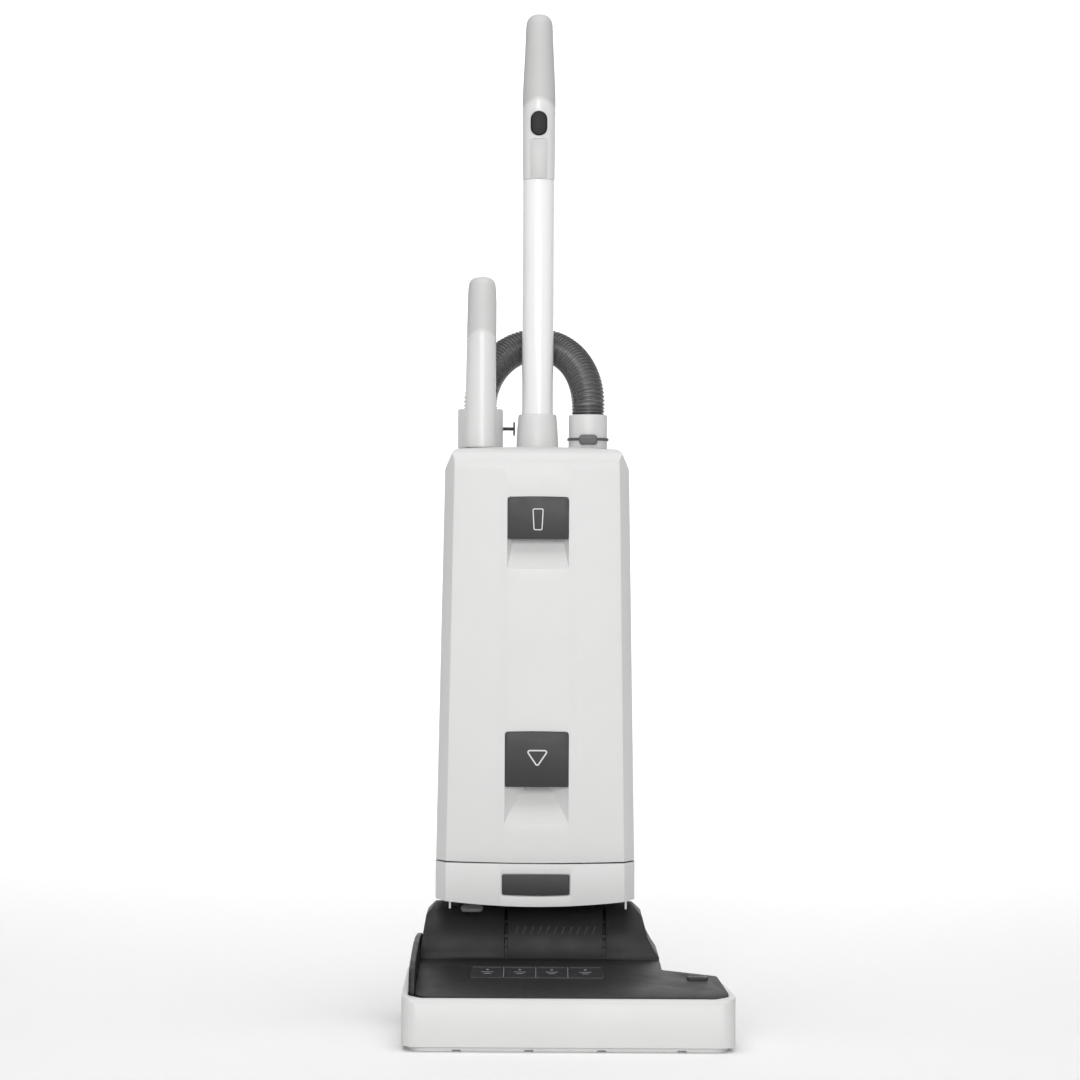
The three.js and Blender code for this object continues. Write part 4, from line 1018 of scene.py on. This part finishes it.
def make_bumper():
    band = prism("bumper", head_plan(0, -HEAD_HALF, HEAD_FRONT, 40), "Z", -10, 90)
    side = fillet([(-171.5, -20), (45, -20), (45, DECK_FRONT_Z + 8.7), (-160, DECK_FRONT_Z),
                   (-167, DECK_FRONT_Z - 2.5), (-171.5, 54)], [0, 0, 0, 14, 6, 10], 5)
    common(band, prism("side", side, "X", -HEAD_HALF - 5, HEAD_HALF + 5))
    bevel(band, 4.5, 5, 50)
    inner = prism("inner", head_plan(7, -HEAD_HALF, HEAD_FRONT, 400), "Z", 0, 100)
    rear = block((60, HEAD_HALF + 5), (-64, 60), (0, 100))
    below = block((-HEAD_HALF - 5, HEAD_HALF + 5), (HEAD_FRONT - 5, 60), (-20, 6.2))
    cut(band, inner, rear, below)
    show(bevel(band, 0.9, 3, 60), "head", "light_shell", "bumper", sharp=30)


def make_sole():
    plate = prism("sole", head_plan(8, -HEAD_HALF, HEAD_FRONT - 3, -50), "Z", 0, 5.6, 0.5, bottom=1.4)
    window = prism("window", rounded_rect(346, 64, 3, 0, BRUSH[0]), "Z", -1, 20)
    back = block((-HEAD_HALF, HEAD_HALF), (-50, 60), (-1, 20))
    notches = [prism("notch", rounded_rect(10.7, 5.4, 1.2, x, 0), "Y", -172, -156)
               for x in (-134, -48, 38, 133.5)]
    guards = [block((x - 1, x + 1), (BRUSH[0] - 34, BRUSH[0] + 34), (0.3, 1.6))
              for x in (-130, -78, -26, 26, 78, 130)]
    cut(plate, window, back, *notches)
    join(plate, *guards)
    show(bevel(plate, 0.4, 2, 60), "head", "light_shell", "sole_plate", sharp=30)


def make_tray():
    """The open tray under the head cover, ribbed, with wells for the wheels and a mouth for the brush."""
    shell = prism("tray", head_plan(8, -192, HEAD_FRONT, 158), "Z", 10, 57.5, 0.6, bottom=2.5)
    hollow = prism("hollow", head_plan(11, -192, HEAD_FRONT, 158), "Z", 13, 80)
    cut(shell, hollow)
    ribs = block((-181, 181), (BRUSH[0] + 36, BRUSH[0] + 39), (11, 55.5))
    others = [block((x, x + 5), (98, 130), (11, 45)) for x in (-150, -86, 50)]
    others += [block((x, x + 1.6), (-70, 60), (10.5, 20)) for x in (-140, -100, -60, -20, 20, 60, 88)]
    limit = prism("limit", head_plan(9, -192, HEAD_FRONT, 158), "Z", 0, 80)
    join(shell, common(join(ribs, *others), limit))
    wells = [block((x - 12.5, x + 12.5), (AXLE[0] - 31, 144), (0, 30)) for x in WHEEL_X.values()]
    mouth = block((-173, 173), (BRUSH[0] - 34, BRUSH[0] + 34), (0, 30))
    slot = block((-174, -158), (BRUSH[0] + 30, BRUSH[0] + 45), (14, 58.5))
    bore = rod("bore", 4.3, -170, 95, "X", AXLE, 32)
    duct = block((-20, 30), (BRUSH[0] + 30, BRUSH[0] + 45), (20, 50))
    cut(shell, *wells, mouth, slot, bore, duct)
    show(bevel(shell, 0.4, 2, 60), "head", "dark_shell", "head_tray", sharp=30)


def cover_side(shrink):
    """Side view of the head cover: the sloping deck, a level strip behind the crease, then the round hump."""
    i, radius = shrink, DRUM_R + 0.6 - shrink
    start = PIVOT[0] - radius
    level = deck_z(CREASE_Y) - i
    front = fillet([(-163 + i, 50), (-163 + i, DECK_FRONT_Z - 1 - i), (-158 + i, DECK_FRONT_Z + 0.6 - i),
                    (CREASE_Y, level)], [0, 1.2, 3, 0], 5, closed=False)
    rise = quad((start - 6, level), (start, level), (start, PIVOT[1] + 2), 8)
    hump = arc(*PIVOT, radius, 178, 0, 64)
    return front + rise + hump + [(PIVOT[0] + radius, 50)]


def cover_front(shrink):
    """Front view of the head cover: the deck's right part, its step, and the hump."""
    i = shrink
    corners = [(-184 + i, 50), (190 - i, 50), (190 - i, 87 - i), (113 - i, 87 - i), (106.3 - i, 97 - i),
               (99.3 - i, 110), (92.3 - i, 136 - i), (78 - i, 152 - i), (-165 + i, 152 - i),
               (-178 + i, 137 - i), (-182 + i, 112), (-184 + i, 96)]
    return fillet(corners, [0, 0, 2, 5, 5, 8, 4, 4, 4, 4, 6, 6], 5)


def cover_solid(name, shrink, floor):
    plan = prism(name, head_plan(7.6 + shrink, -191.6, HEAD_FRONT, 158), "Z", floor, 175)
    return common(plan, prism("side", cover_side(shrink)[::-1], "X", -210, 210),
                  prism("front", cover_front(shrink), "Y", -190, 180))


def pedal_space(obj):
    """Turns a piece made about the Z axis to the line of the pedal's stroke."""
    turn = Vector((0, 0, 1)).rotation_difference(PEDAL_STROKE).to_matrix().to_4x4()
    obj.data.transform(Matrix.Translation((PEDAL_X * MM, PIVOT[0] * MM, PIVOT[1] * MM)) @ turn)
    return obj


def make_head_cover():
    shell = cut(cover_solid("head_cover", 0, 58), cover_solid("hollow", 3, 40))
    low, high = BODY_X + DRUM_X[0] - 4, BODY_X + DRUM_X[1] + 4
    webs = [common(block(x, (28, 150), (58, 151)), cover_solid("limit", 1, 58))
            for x in ((low - 3, low + 1), (high - 1, high + 3))]
    join(shell, *webs)
    bevel(shell, 1.0, 3, 30)
    opening = block((low, high), (26.6, 200), (40, 200))
    pins = rod("pins", 5.3, -100, 70, "X", PIVOT, 40)
    front, back = PANEL_Y[0] - 0.5, PANEL_Y[1] + 0.5
    side = [(front, deck_z(front) - 1.4), (back, deck_z(back) - 1.4), (back, 110), (front, 110)]
    bed = prism("bed", side, "X", PANEL_X[0] - 0.5, PANEL_X[1] + 0.5)
    button = prism("button", button_outline(0.8, 2.2), "Z", 50, 100)
    stem = pedal_space(rod("stem", 4.4, 40, 80, "Z", (0, 0), 40))
    cut(shell, opening, pins, bed, button, stem)
    show(bevel(shell, 0.35, 2, 60), "head", "dark_shell", "head_cover", sharp=28)


def button_outline(grow, radius, steps=6):
    width, depth = BUTTON_X[1] - BUTTON_X[0] + grow, BUTTON_Y[1] - BUTTON_Y[0] + grow
    return rounded_rect(width, depth, radius, sum(BUTTON_X) / 2, sum(BUTTON_Y) / 2, steps)


def make_left_cover():
    side = fillet([(-141, 58), (142, 58), (146, 62), (146, 80), (140, 96), (130, 103), (110, 107), (60, 110),
                   (0, 109.5), (-60, 104), (-100, 99), (-128, 92), (-138, 80), (-141, 66)],
                  [2, 3, 4, 12, 12, 16, 60, 60, 60, 60, 40, 14, 10, 4], 5)
    panel = prism("left_cover", side, "X", -192.4, -184.6, bottom=3.4, rounding=1.2, steps=4)
    recess = prism("recess", inset(side, 9), "X", -194, -191.4)
    screws = [rod("screw", 3.2, -194, -190.6, "X", at, 24) for at in ((-118, 74), (128, 74))]
    cut(panel, recess, *screws)
    show(bevel(panel, 0.5, 2, 40), "head", "dark_shell", "left_side_cover", sharp=30)


def on_deck(name, outline, low, high, rounding=0.0):
    """A piece lying on the sloping deck, from a plan outline and heights above the deck."""
    made = prism(name, outline, "Z", low, high, rounding)
    return reshape(made, lambda p: (p.x, p.y, p.z + deck_z(p.y)))


def make_panel():
    width, depth = PANEL_X[1] - PANEL_X[0], PANEL_Y[1] - PANEL_Y[0]
    middle = sum(PANEL_Y) / 2
    plate = on_deck("panel", rounded_rect(width, depth, 1.5, sum(PANEL_X) / 2, middle, 4), -1.0, 0.25, 0.2)
    edges = [PANEL_X[0] + 1.2, -79.5, -40.4, -1.4, PANEL_X[1] - 1.2]
    windows, marks = [], []
    for a, b in zip(edges, edges[1:]):
        centre = (a + b) / 2
        windows.append(on_deck("window", rounded_rect(b - a - 1.8, depth - 3.2, 1.6, centre, middle, 4),
                               -0.35, 2))
        marks.append(on_deck("mark", circle(1.7, centre, middle + 12, 24), -0.45, 0.05, 0.2))
        marks.append(on_deck("mark", rounded_rect(15, 1.2, 0.5, centre, middle + 2, 3), -0.45, -0.15, 0.1))
        marks.append(on_deck("mark", rounded_rect(9, 1.2, 0.5, centre, middle - 5, 3), -0.45, -0.15, 0.1))
    for line in edges[1:-1]:
        marks.append(on_deck("mark", rounded_rect(0.7, depth - 3, 0.3, line, middle, 2), -0.2, 0.4, 0.1))
    cut(plate, *windows)
    show(plate, "head", "dark_panel", "indicator_panel", material=PANEL_FINISH)
    show(merge("panel_marks", marks), "head", "dark_panel", material=MARK_FINISH)

    deck = deck_z(sum(BUTTON_Y) / 2)
    key = prism("key", button_outline(0, 1.9, 5), "Z", deck - 3.5, deck + 2.2, 0.8)
    grooves = [block((x - 0.5, x + 0.5), (BUTTON_Y[0] + 2, BUTTON_Y[1] - 2), (deck + 1.5, deck + 4))
               for x in (149.5, 152.5, 155.5, 158.5, 161.5)]
    show(cut(key, *grooves), "brush_release", "dark_panel", "brush_release_button")


def make_pedal():
    cap = prism("cap", rounded_rect(28, 11, 5.4, 0, 0, 10), "Z", DRUM_R + 6.5, DRUM_R + 11, 1.6, 4,
                bottom=0.6)
    reshape(cap, lambda p: (p.x, p.y, p.z - (0.012 * p.x ** 2 * 0.35 if p.z > DRUM_R + 8 else 0)))
    profile = [(0.01, 44), (3.4, 44), (4.0, 44.6), (4.0, 66.3), (0.01, 66.3)]
    stem = turned("pedal_stem", profile, "Z", (0, 0), 40)
    # The cap's mid grey is painted shade from the base above it.
    show(pedal_space(cap), "release_pedal", "grey_grip", "release_pedal", material=PEDAL_SHADE_FINISH)
    show(pedal_space(stem), "release_pedal", "dark_shell")


def rib_rule(point):
    """Lays a small rib on the round of the drum."""
    x, y, z = point
    radius = DRUM_R + 0.45 if y < 1 else DRUM_R - 0.6
    return x, PIVOT[0] - math.sqrt(radius ** 2 - (z - PIVOT[1]) ** 2), z


def make_drum():
    low, high = DRUM_X
    profile = [(0.01, low), (DRUM_R, low), (DRUM_R, high), (0.01, high)]
    drum = turned("drum", fillet(profile, [0, 0.6, 0.6, 0], 3), "X", PIVOT, 128)
    core = rod("core", 52, low - 3.5, high + 3.5, "X", PIVOT, 96)
    ends = [rod("end", 59.4, a, b, "X", PIVOT, 128)
            for a, b in ((low - 3.5, low + 1), (high - 1, high + 3.5))]
    for end in ends:
        cut(end, *[block((-60, 120), (0, PIVOT[0]), z) for z in ((98.8, 111.3), (115, 128), (131, 143))])
    marks = []
    for number in range(11):
        middle = -27 + 105.7 * (number + 0.5) / 11
        outline = [(middle - 3.2, 115), (middle - 1.6, 115), (middle + 2.6, 124.5), (middle + 1.0, 124.5)]
        mark = prism("mark", outline, "Y", 0, 60)
        marks.append(reshape(mark, rib_rule))
    neck = block((-32, 8), (70, 106), (140, 157))
    join(drum, core, *ends, neck)
    hollow = rod("hollow", DRUM_R - 3, low + 3, high - 3, "X", PIVOT, 96)
    passage = block((-29, 5), (73, 103), (120, 160))
    bores = rod("bores", 5.3, low - 5, high + 5, "X", PIVOT, 40)
    mouth = block((low + 8, high - 8), (79, 126), (20, 60))
    cut(drum, hollow, passage, bores, mouth)
    show(drum, "upright", "dark_shell", "neck_drum", sharp=26)
    # The ribs' lighter colour is painted highlight.
    show(merge("drum_ribs_painted_highlight", marks), "upright", "dark_shell", material=RIB_HIGHLIGHT_FINISH)


make_bumper()
make_sole()
make_tray()
make_head_cover()
make_left_cover()
make_panel()
make_pedal()
make_drum()


# ---------------------------------------------------------------- brush drive and wheels
BELT_X = (-172, -160)
# radius and angle of the corners of an opening in a wheel
WEB = ((8.5, -0.42), (18.5, -0.5), (18.9, -0.25), (19, 0), (18.9, 0.25), (18.5, 0.5), (8.5, 0.42))
TOOTH_PITCH = 8
MOTOR_TEETH = 8
BRUSH_TEETH = 18


def pitch_radius(teeth):
    """The radius of a belt pulley, from its teeth."""
    return teeth * TOOTH_PITCH / (2 * math.pi)


def make_roller():
    """A roller with four rows of tufts, nine strands to a tuft, each row wound part of the way round."""
    profile = [(0.01, -150), (14, -150), (16, -148), (16, 162), (14, 164), (0.01, 164)]
    core = turned("roller_core", fillet(profile, [0, 1, 1, 1, 1, 0], 3), "X", BRUSH, 56)
    journals = [rod("journal", 5, a, b, "X", BRUSH, 32) for a, b in ((-179, -140), (150, 175))]
    caps = [turned("cap", fillet([(6, a), (19, a), (19, a + 3), (6, a + 3)], 0.6, 3), "X", BRUSH, 56,
                   hollow=True)
            for a in (-152, 163)]
    verts, faces = [], []
    for number in range(4 * 46):
        row, k = divmod(number, 46)
        x = -141 + 292 * k / 45
        angle = row * math.pi / 2 + (x - 5) / 296 * math.pi * 0.8
        c, s = math.cos(angle), math.sin(angle)
        for strand in range(9):
            u, v = (strand % 3 - 1), (strand // 3 - 1)
            jitter = math.sin(k * 12.9 + strand * 78.2 + row * 4.1) * 0.5
            foot = Vector((x + u * 1.1, v * 1.0, 14.5))
            tip = Vector((x + u * 2.0 + jitter * 0.6, v * 2.2 + jitter, 30.9 + 0.5 * jitter))
            start = len(verts)
            for end, radius in ((foot, 0.55), (tip, 0.34)):
                for a in full_turn(5):
                    p = end + Vector((radius * math.cos(a), radius * math.sin(a), 0))
                    verts.append((p.x, BRUSH[0] + p.y * c - p.z * s, BRUSH[1] + p.y * s + p.z * c))
            faces += [(start + k, start + (k + 1) % 5, start + 5 + (k + 1) % 5, start + 5 + k)
                      for k in range(5)]
            faces += [tuple(start + k for k in range(5))[::-1], tuple(start + 5 + k for k in range(5))]
    tufts = mesh_object("tufts", verts, faces)
    join(core, *journals, *caps)
    show(core, "brush", "inner_plastic")
    show(tufts, "brush", "bristle", "brush_roller")


def tooth_line(teeth, radius, centre, depth):
    """The round toothed outline of a belt pulley."""
    points = []
    for tooth in range(teeth):
        for share, r in ((0.06, radius - depth), (0.34, radius - depth), (0.46, radius), (0.94, radius)):
            angle = 2 * math.pi * (tooth + share) / teeth
            points.append(polar(centre, r, angle))
    return fillet(points, 0.5, 2)


def make_pulley(name, body, teeth, centre, bore, windows):
    radius = pitch_radius(teeth) - 1.4
    wheel = prism(name, tooth_line(teeth, radius, centre, 1.6), "X", BELT_X[0] + 1, BELT_X[1] - 1, 0.3, 2)
    low, high = BELT_X[1] - 1.2, BELT_X[1] + 1
    profile = [(0.01, low), (radius + 3.3, low), (radius + 3.3, high), (0.01, high)]
    flange = turned("flange", fillet(profile, [0, 0.5, 0.8, 0], 3), "X", centre, 64)
    cuts = [rod("hole", bore, -180, -150, "X", centre, 32)]
    if windows:
        cuts += [rod("window", 3.6, BELT_X[0], BELT_X[1] - 3, "X", polar(centre, 13, math.pi / 3 * k), 20)
                 for k in range(6)]
    cut(join(wheel, flange), *cuts)
    show(wheel, body, "inner_plastic", name, sharp=30)


def make_belt():
    small, large = pitch_radius(MOTOR_TEETH), pitch_radius(BRUSH_TEETH)
    way = Vector((MOTOR[0] - BRUSH[0], MOTOR[1] - BRUSH[1]))
    heading = math.degrees(math.atan2(way.y, way.x))
    spread = math.degrees(math.acos((large - small) / way.length))

    def loop(grow):
        return (arc(*BRUSH, large + grow, heading + spread, heading - spread + 360, 72)
                + arc(*MOTOR, small + grow, heading - spread, heading + spread, 36))

    low, high = BELT_X[0] + 1.6, BELT_X[1] - 1.6
    outer, inner = loop(1.2), loop(-0.8)
    rings = [[(x, y, z) for y, z in line]
             for line, x in ((outer, low), (outer, high), (inner, high), (inner, low))]
    show(loft("belt", rings, round_trip=True), "head", "rubber", "drive_belt")


def make_brush_motor():
    profile = [(0.01, -112), (27.4, -112), (29, -110), (29, 20), (26, 24), (12, 24), (12, 32), (0.01, 32)]
    can = turned("motor", fillet(profile, [0, 2, 1, 2, 2, 1, 1, 0], 3), "X", MOTOR, 72)
    shaft = rod("shaft", 3, -175, -110, "X", MOTOR, 32)
    slots = [rod("slot", 2.2, 14, 30, "X", polar(MOTOR, 19, a), 16) for a in full_turn(10)]
    join(can, shaft)
    show(bevel(cut(can, *slots), 0.3, 2, 50), "head", "alloy", "brush_motor")


def make_wheels():
    """Two rear wheels, open between five webs, with grooved tyres."""
    for side, x in WHEEL_X.items():
        hub = ring("hub", 4.4, 21.9, x - 9, x + 9, "X", AXLE, 0.6, 72)
        openings = []
        for a in full_turn(5):
            outline = [polar(AXLE, r, a + d) for r, d in WEB]
            for low, high in ((x - 12, x - 2.5), (x + 2.5, x + 12)):
                openings.append(prism("web", fillet(outline, 1.2, 3), "X", low, high))
        cut(hub, *openings)
        show(bevel(hub, 0.3, 2, 50), f"wheel_{side}", "inner_plastic", f"rear_wheel_{side}")
        profile = [(22.2, x - 9.6), (26, x - 10), (28.4, x - 9.4), (29.7, x - 8), (30, x - 6.4)]
        for groove in (-3.4, 0, 3.4):
            profile += [(30, x + groove - 0.9), (29.2, x + groove - 0.5), (29.2, x + groove + 0.5),
                        (30, x + groove + 0.9)]
        profile += [(30, x + 6.4), (29.7, x + 8), (28.4, x + 9.4), (26, x + 10), (22.2, x + 9.6)]
        show(turned("tyre", profile, "X", AXLE, 96, hollow=True), f"wheel_{side}", "tyre",
             f"rear_tyre_{side}")


# ---------------------------------------------------------------- inside the body
BAG = (34, 97)
BAG_PLATE = (52, 97)
BAG_VOXEL = 0.0055
MOTOR_FILTER = (36, 96)
SUCTION = (62, 85)  # axis of the suction motor


def bag_form():
    """A gusseted bag, a little smaller than its solid so that it can swell."""
    rings = []
    for k in range(45):
        t = k / 44
        z = 336 + 322 * t
        end = max(0.0, 1 - min(t, 1 - t) / 0.1)
        width, depth = 138 - 10 * end ** 2, 76 - 22 * end ** 1.5
        outline = rounded_rect(width, depth, 18 - 6 * end, *BAG, 6)
        ring_points = []
        for x, y in outline:
            fold = max(0.0, 1 - abs(y - BAG[1]) / 26) * 7 * (1 - end)
            ring_points.append((x - fold * (1 if x > BAG[0] else -1) * (abs(x - BAG[0]) / (width / 2)) ** 4,
                                y, z))
        rings.append(ring_points)
    return loft("filter_bag_soft", rings)


def swell(obj, pressure, reach):
    """Remeshes a soft form, blows it up as cloth and keeps every point within a distance of where it was."""
    step = obj.modifiers.new("remesh", "REMESH")
    step.mode, step.voxel_size = "VOXEL", BAG_VOXEL
    applied(obj)
    start = [v.co.copy() for v in obj.data.vertices]
    cloth = obj.modifiers.new("cloth", "CLOTH")
    cloth.settings.use_pressure = True
    cloth.settings.uniform_pressure_force = pressure
    cloth.settings.effector_weights.gravity = 0
    cloth.settings.quality = 5
    cloth.settings.tension_stiffness = 8
    cloth.settings.bending_stiffness = 0.6
    scene = bpy.context.scene
    for number in range(1, 21):
        scene.frame_set(number)
    applied(obj)
    scene.frame_set(1)
    for vertex, before in zip(obj.data.vertices, start):
        move = vertex.co - before
        if move.length > reach * MM:
            vertex.co = before + move.normalized() * reach * MM
    return obj


def make_bag():
    bag = swell(bag_form(), 4.0, 4.4)

    def crumple(p):
        ends = max(0.0, 1 - min(abs(p.z - 332), abs(p.z - 662)) / 60)
        wave = (math.sin(p.z / 13.0 + 2.2 * math.sin(p.x / 21)) * math.sin(p.x / 17 + p.z / 41)
                + 0.6 * math.sin(p.z / 7.3 + p.x / 9.1 + p.y / 11))
        away = Vector((p.x - BAG[0], p.y - BAG[1], 0)).normalized()
        depth = 0.55 + 0.9 * ends
        q = p - away * depth * (0.8 + wave * 0.7)
        return max(q.x, -45), q.y, min(q.z, 665)

    reshape(bag, crumple)
    smooth = bag.modifiers.new("smooth", "SMOOTH")
    smooth.iterations = 2
    fine = bag.modifiers.new("fine", "SUBSURF")
    fine.levels = fine.render_levels = 1
    applied(bag)
    show(bag, "upright", "fleece", "filter_bag", sharp=180)


def make_bag_plate():
    plate = prism("plate", rounded_rect(112, 84, 6, *BAG_PLATE, 6), "Z", 668, 671, 0.5, 3)
    hole = rod("hole", 18.7, 600, 700, "Z", PORT, 64)
    dish = prism("dish", rounded_rect(98, 70, 5, *BAG_PLATE, 6), "Z", 670.2, 672)
    notch = prism("notch", rounded_rect(16, 10, 3, BAG_PLATE[0], 55, 5), "Z", 660, 680)
    cut(plate, hole, dish, notch)
    show(bevel(plate, 0.3, 2, 50), "upright", "card", "bag_plate")
    show(ring("bag_neck", 18.6, 24, 661, 667.8, "Z", PORT, 0.8, 64), "upright", "rubber")


def make_bag_holder():
    cradle = prism("holder", rounded_rect(118, 92, 8, 51, 98, 6), "Z", 672, 675, 0.6, 3)
    hole = rod("hole", 16, 600, 700, "Z", PORT, 64)
    ribs = [block((x - 0.8, x + 0.8), (58, 138), (674, 678.5)) for x in (2, 18, 34, 90, 102)]
    rails = [block(x, (60, 136), (667.4, 673)) for x in ((-7.6, -5.2), (108.8, 109.8))]
    join(cradle, *ribs, *rails)
    spout = ring("spout", 15, 18, 664.8, 716, "Z", PORT, 0.5, 64)
    lips = ring("lips", 17, 20, 684, 687, "Z", PORT, 0.6, 64)
    cut(cradle, hole)
    join(cradle, spout, lips)
    show(bevel(cradle, 0.3, 2, 50), "upright", "inner_plastic", "bag_holder")


def pleats(x, z, pitch):
    """The side view of a filter pad folded in pleats."""
    count = round((x[1] - x[0]) / pitch)
    low, high = z
    top, under = [], []
    for k in range(count * 2 + 1):
        at = x[0] + (x[1] - x[0]) * k / (count * 2)
        top.append((at, high if k % 2 else high - 5))
        under.append((at, low + 5 if k % 2 else low))
    return fillet(top[::-1] + under, 0.6, 2)


def make_filters():
    pad = prism("filter", pleats((-34, 106), (304.6, 319.8), 5.2), "Y", 52, 140)
    show(pad, "upright", "fleece", "motor_filter", sharp=50)
    frame_ring = cut(prism("filter_frame", rounded_rect(148, 96, 6, *MOTOR_FILTER, 5), "Z", 304.6, 313, 0.8),
                     prism("gap", rounded_rect(141, 89, 4, *MOTOR_FILTER, 5), "Z", 300, 330))
    show(bevel(frame_ring, 0.4, 2, 50), "upright", "inner_plastic")

    folds = [(-26 + 112 * k / 52, 151 if k % 2 else 146) for k in range(53)]
    back = [(x, y - 4.5) for x, y in folds[::-1]]
    pad = prism("exhaust_pad", fillet(folds[::-1] + back[::-1], 0.5, 2), "Z", 221, 287)
    show(pad, "upright", "fleece", "exhaust_filter", sharp=50)


def on_motor(obj, angle):
    """Turns a piece about the Z axis and moves it to the suction motor's axis."""
    place = Matrix.Translation((SUCTION[0] * MM, SUCTION[1] * MM, 0))
    obj.data.transform(place @ Matrix.Rotation(angle, 4, "Z"))
    return obj


def make_motor():
    profile = [(0.01, 172), (30, 172), (40, 178), (44, 186), (44, 228), (40, 236), (14, 239.5), (4, 239.5),
               (4, 272), (0.01, 272)]
    body = turned("motor", fillet(profile, [0, 3, 4, 4, 4, 3, 2, 0.5, 0.4, 0], 4), "Z", SUCTION, 80)
    slots = [on_motor(prism("slot", rounded_rect(3.6, 20, 1.7, 0, 207, 4), "Y", 36, 50), a)
             for a in full_turn(14)]
    show(bevel(cut(body, *slots), 0.3, 2, 50), "upright", "alloy", "suction_motor")

    profile = [(10, 240.4), (52, 240.4), (52, 285), (20, 285), (20, 282), (49, 282), (49, 243.4), (10, 243.4)]
    housing = turned("housing", fillet(profile, 0.9, 3), "Z", SUCTION, 80, hollow=True)
    bosses = [rod("boss", 4, 242, 284, "Z", polar(SUCTION, 54, a), 24) for a in (0.6, 2.2, 3.9, 5.4)]
    for boss in bosses:
        common(boss, block((0, 120), (PARTING_Y + 2, 148), (240, 286)))
    show(bevel(join(housing, *bosses), 0.3, 2, 50), "upright", "inner_plastic", "fan_housing")

    profile = [(4.4, 247), (42, 247), (42, 248.4), (9, 250.6), (9, 272), (4.4, 272)]
    plates = turned("fan", fillet(profile, 0.4, 2), "Z", SUCTION, 72, hollow=True)
    line = [(8 + 33 * t, 6 * math.sin(1.4 * t)) for t in (i / 8 for i in range(9))]
    outline = [(x, y - 0.55) for x, y in line] + [(x, y + 0.55) for x, y in reversed(line)]
    blades = [on_motor(prism("blade", outline, "Z", 248, 269.5), a) for a in full_turn(9)]
    show(join(plates, *blades), "fan", "alloy", "fan_impeller")


def make_duct():
    """The ribbed duct from the neck drum to the wand's channel, and the channel."""
    points = [(-12, 88, 162), (-14, 87, 180), (-34, 76, 203), (-56, 60, 222), (-70, 52, 240), (-70, 52, 252)]
    path = [Vector(p) for p in curve(points, 8)]

    def ribbed(i):
        rib = 0.5 if i % 4 == 0 and 2 < i < len(path) - 3 else 0
        return [19.4 + rib] * 40

    outer, inner = sweep(path, [ribbed, lambda i: [17.2] * 40])
    show(loft("duct", outer + inner[::-1], round_trip=True), "upright", "inner_plastic", "lower_duct")
    show(ring("channel", 19.1, 21.5, 252.4, 716, "Z", WAND, 0.5, 56), "upright", "inner_plastic",
         "wand_channel")


make_roller()
make_pulley("brush_pulley", "brush", BRUSH_TEETH, BRUSH, 5.3, True)
make_pulley("motor_pulley", "motor_pulley", MOTOR_TEETH, MOTOR, 3.3, False)
make_belt()
make_brush_motor()
make_wheels()
make_bag()
make_bag_plate()
make_bag_holder()
make_filters()
make_motor()
make_duct()


# ---------------------------------------------------------------- back of the body
def make_grille():
    plate = prism("grille", rounded_rect(119, 71, 1.6, *GRILLE, 4), "Y", BODY_REAR - 3, BODY_REAR + 0.2, 0.7)
    slots = [prism("slot", rounded_rect(104, 5.4, 2.2, GRILLE[0], 228 + 10.4 * k, 5), "Y", 140, 165)
             for k in range(6)]
    cut(plate, *slots)
    ribs = [block((x - 0.9, x + 0.9), (BODY_REAR - 2.8, BODY_REAR - 1.2), (222, 286))
            for x in (GRILLE[0] - 26, GRILLE[0], GRILLE[0] + 26)]
    join(plate, *ribs)
    show(bevel(plate, 0.35, 2, 45), "upright", "dark_panel", "exhaust_grille")


def make_hook(name, body, z, way):
    """A cord hook at a height, its arm up or down from the boss."""
    profile = [(0.01, BODY_REAR + 0.4), (12, BODY_REAR + 0.4), (11, 166), (0.01, 166)]
    boss = turned("boss", fillet(profile, [0, 1, 2, 0], 4), "Y", (0, z), 48)
    stud = rod("stud", 4.1, 146, 157, "Y", (0, z), 32)
    arm = prism("arm", rounded_rect(20, 56, 8, 0, z + 19 * way, 10), "Y", 164, 170, 1.6, 4, bottom=1.0)
    lip = prism("lip", rounded_rect(18, 5, 2.4, 0, z + 43.5 * way, 6), "Y", 161, 168, 0.8, 3, bottom=1.4)
    dish = prism("dish", rounded_rect(12, 30, 5, 0, z + 24 * way, 8), "Y", 169.2, 175)
    show(bevel(cut(join(arm, boss, stud, lip), dish), 0.3, 2, 50), body, "dark_panel", name)


def make_inlet():
    profile = [(4, 146), (6, 146), (6, 155.3), (9, 155.3), (9, 157)]
    for k in range(4):
        r = 8.3 - 0.45 * k
        profile += [(r, 157.6 + 2.4 * k), (r, 158.8 + 2.4 * k), (r - 1.4, 159.2 + 2.4 * k),
                    (r - 1.4, 159.8 + 2.4 * k)]
    profile += [(6.0, 167), (4, 167)]
    show(turned("inlet", profile, "Y", INLET, 48, hollow=True), "upright", "rubber", "cord_inlet")


def soften(node):
    """Rounds the edges of a CAD piece that is shown as it is."""
    step = frame["nodes"][node].modifiers.new("soften", "BEVEL")
    step.width, step.segments, step.limit_method, step.angle_limit = 0.4 * MM, 2, "ANGLE", math.radians(35)


make_grille()
make_hook("upper_cord_hook", "upper_cord_hook", HOOK_Z["upper"], 1)
make_hook("lower_cord_hook", "upright", HOOK_Z["lower"], -1)
make_inlet()
for node_name in ("rear_axle", "pivot_pin_left", "pivot_pin_right", "brush_bearing_left",
                  "brush_bearing_right", "motor_mount_ring", "motor_gasket", "motor_deck", "cover_seal"):
    soften(node_name)

make_stage()
light_scene()
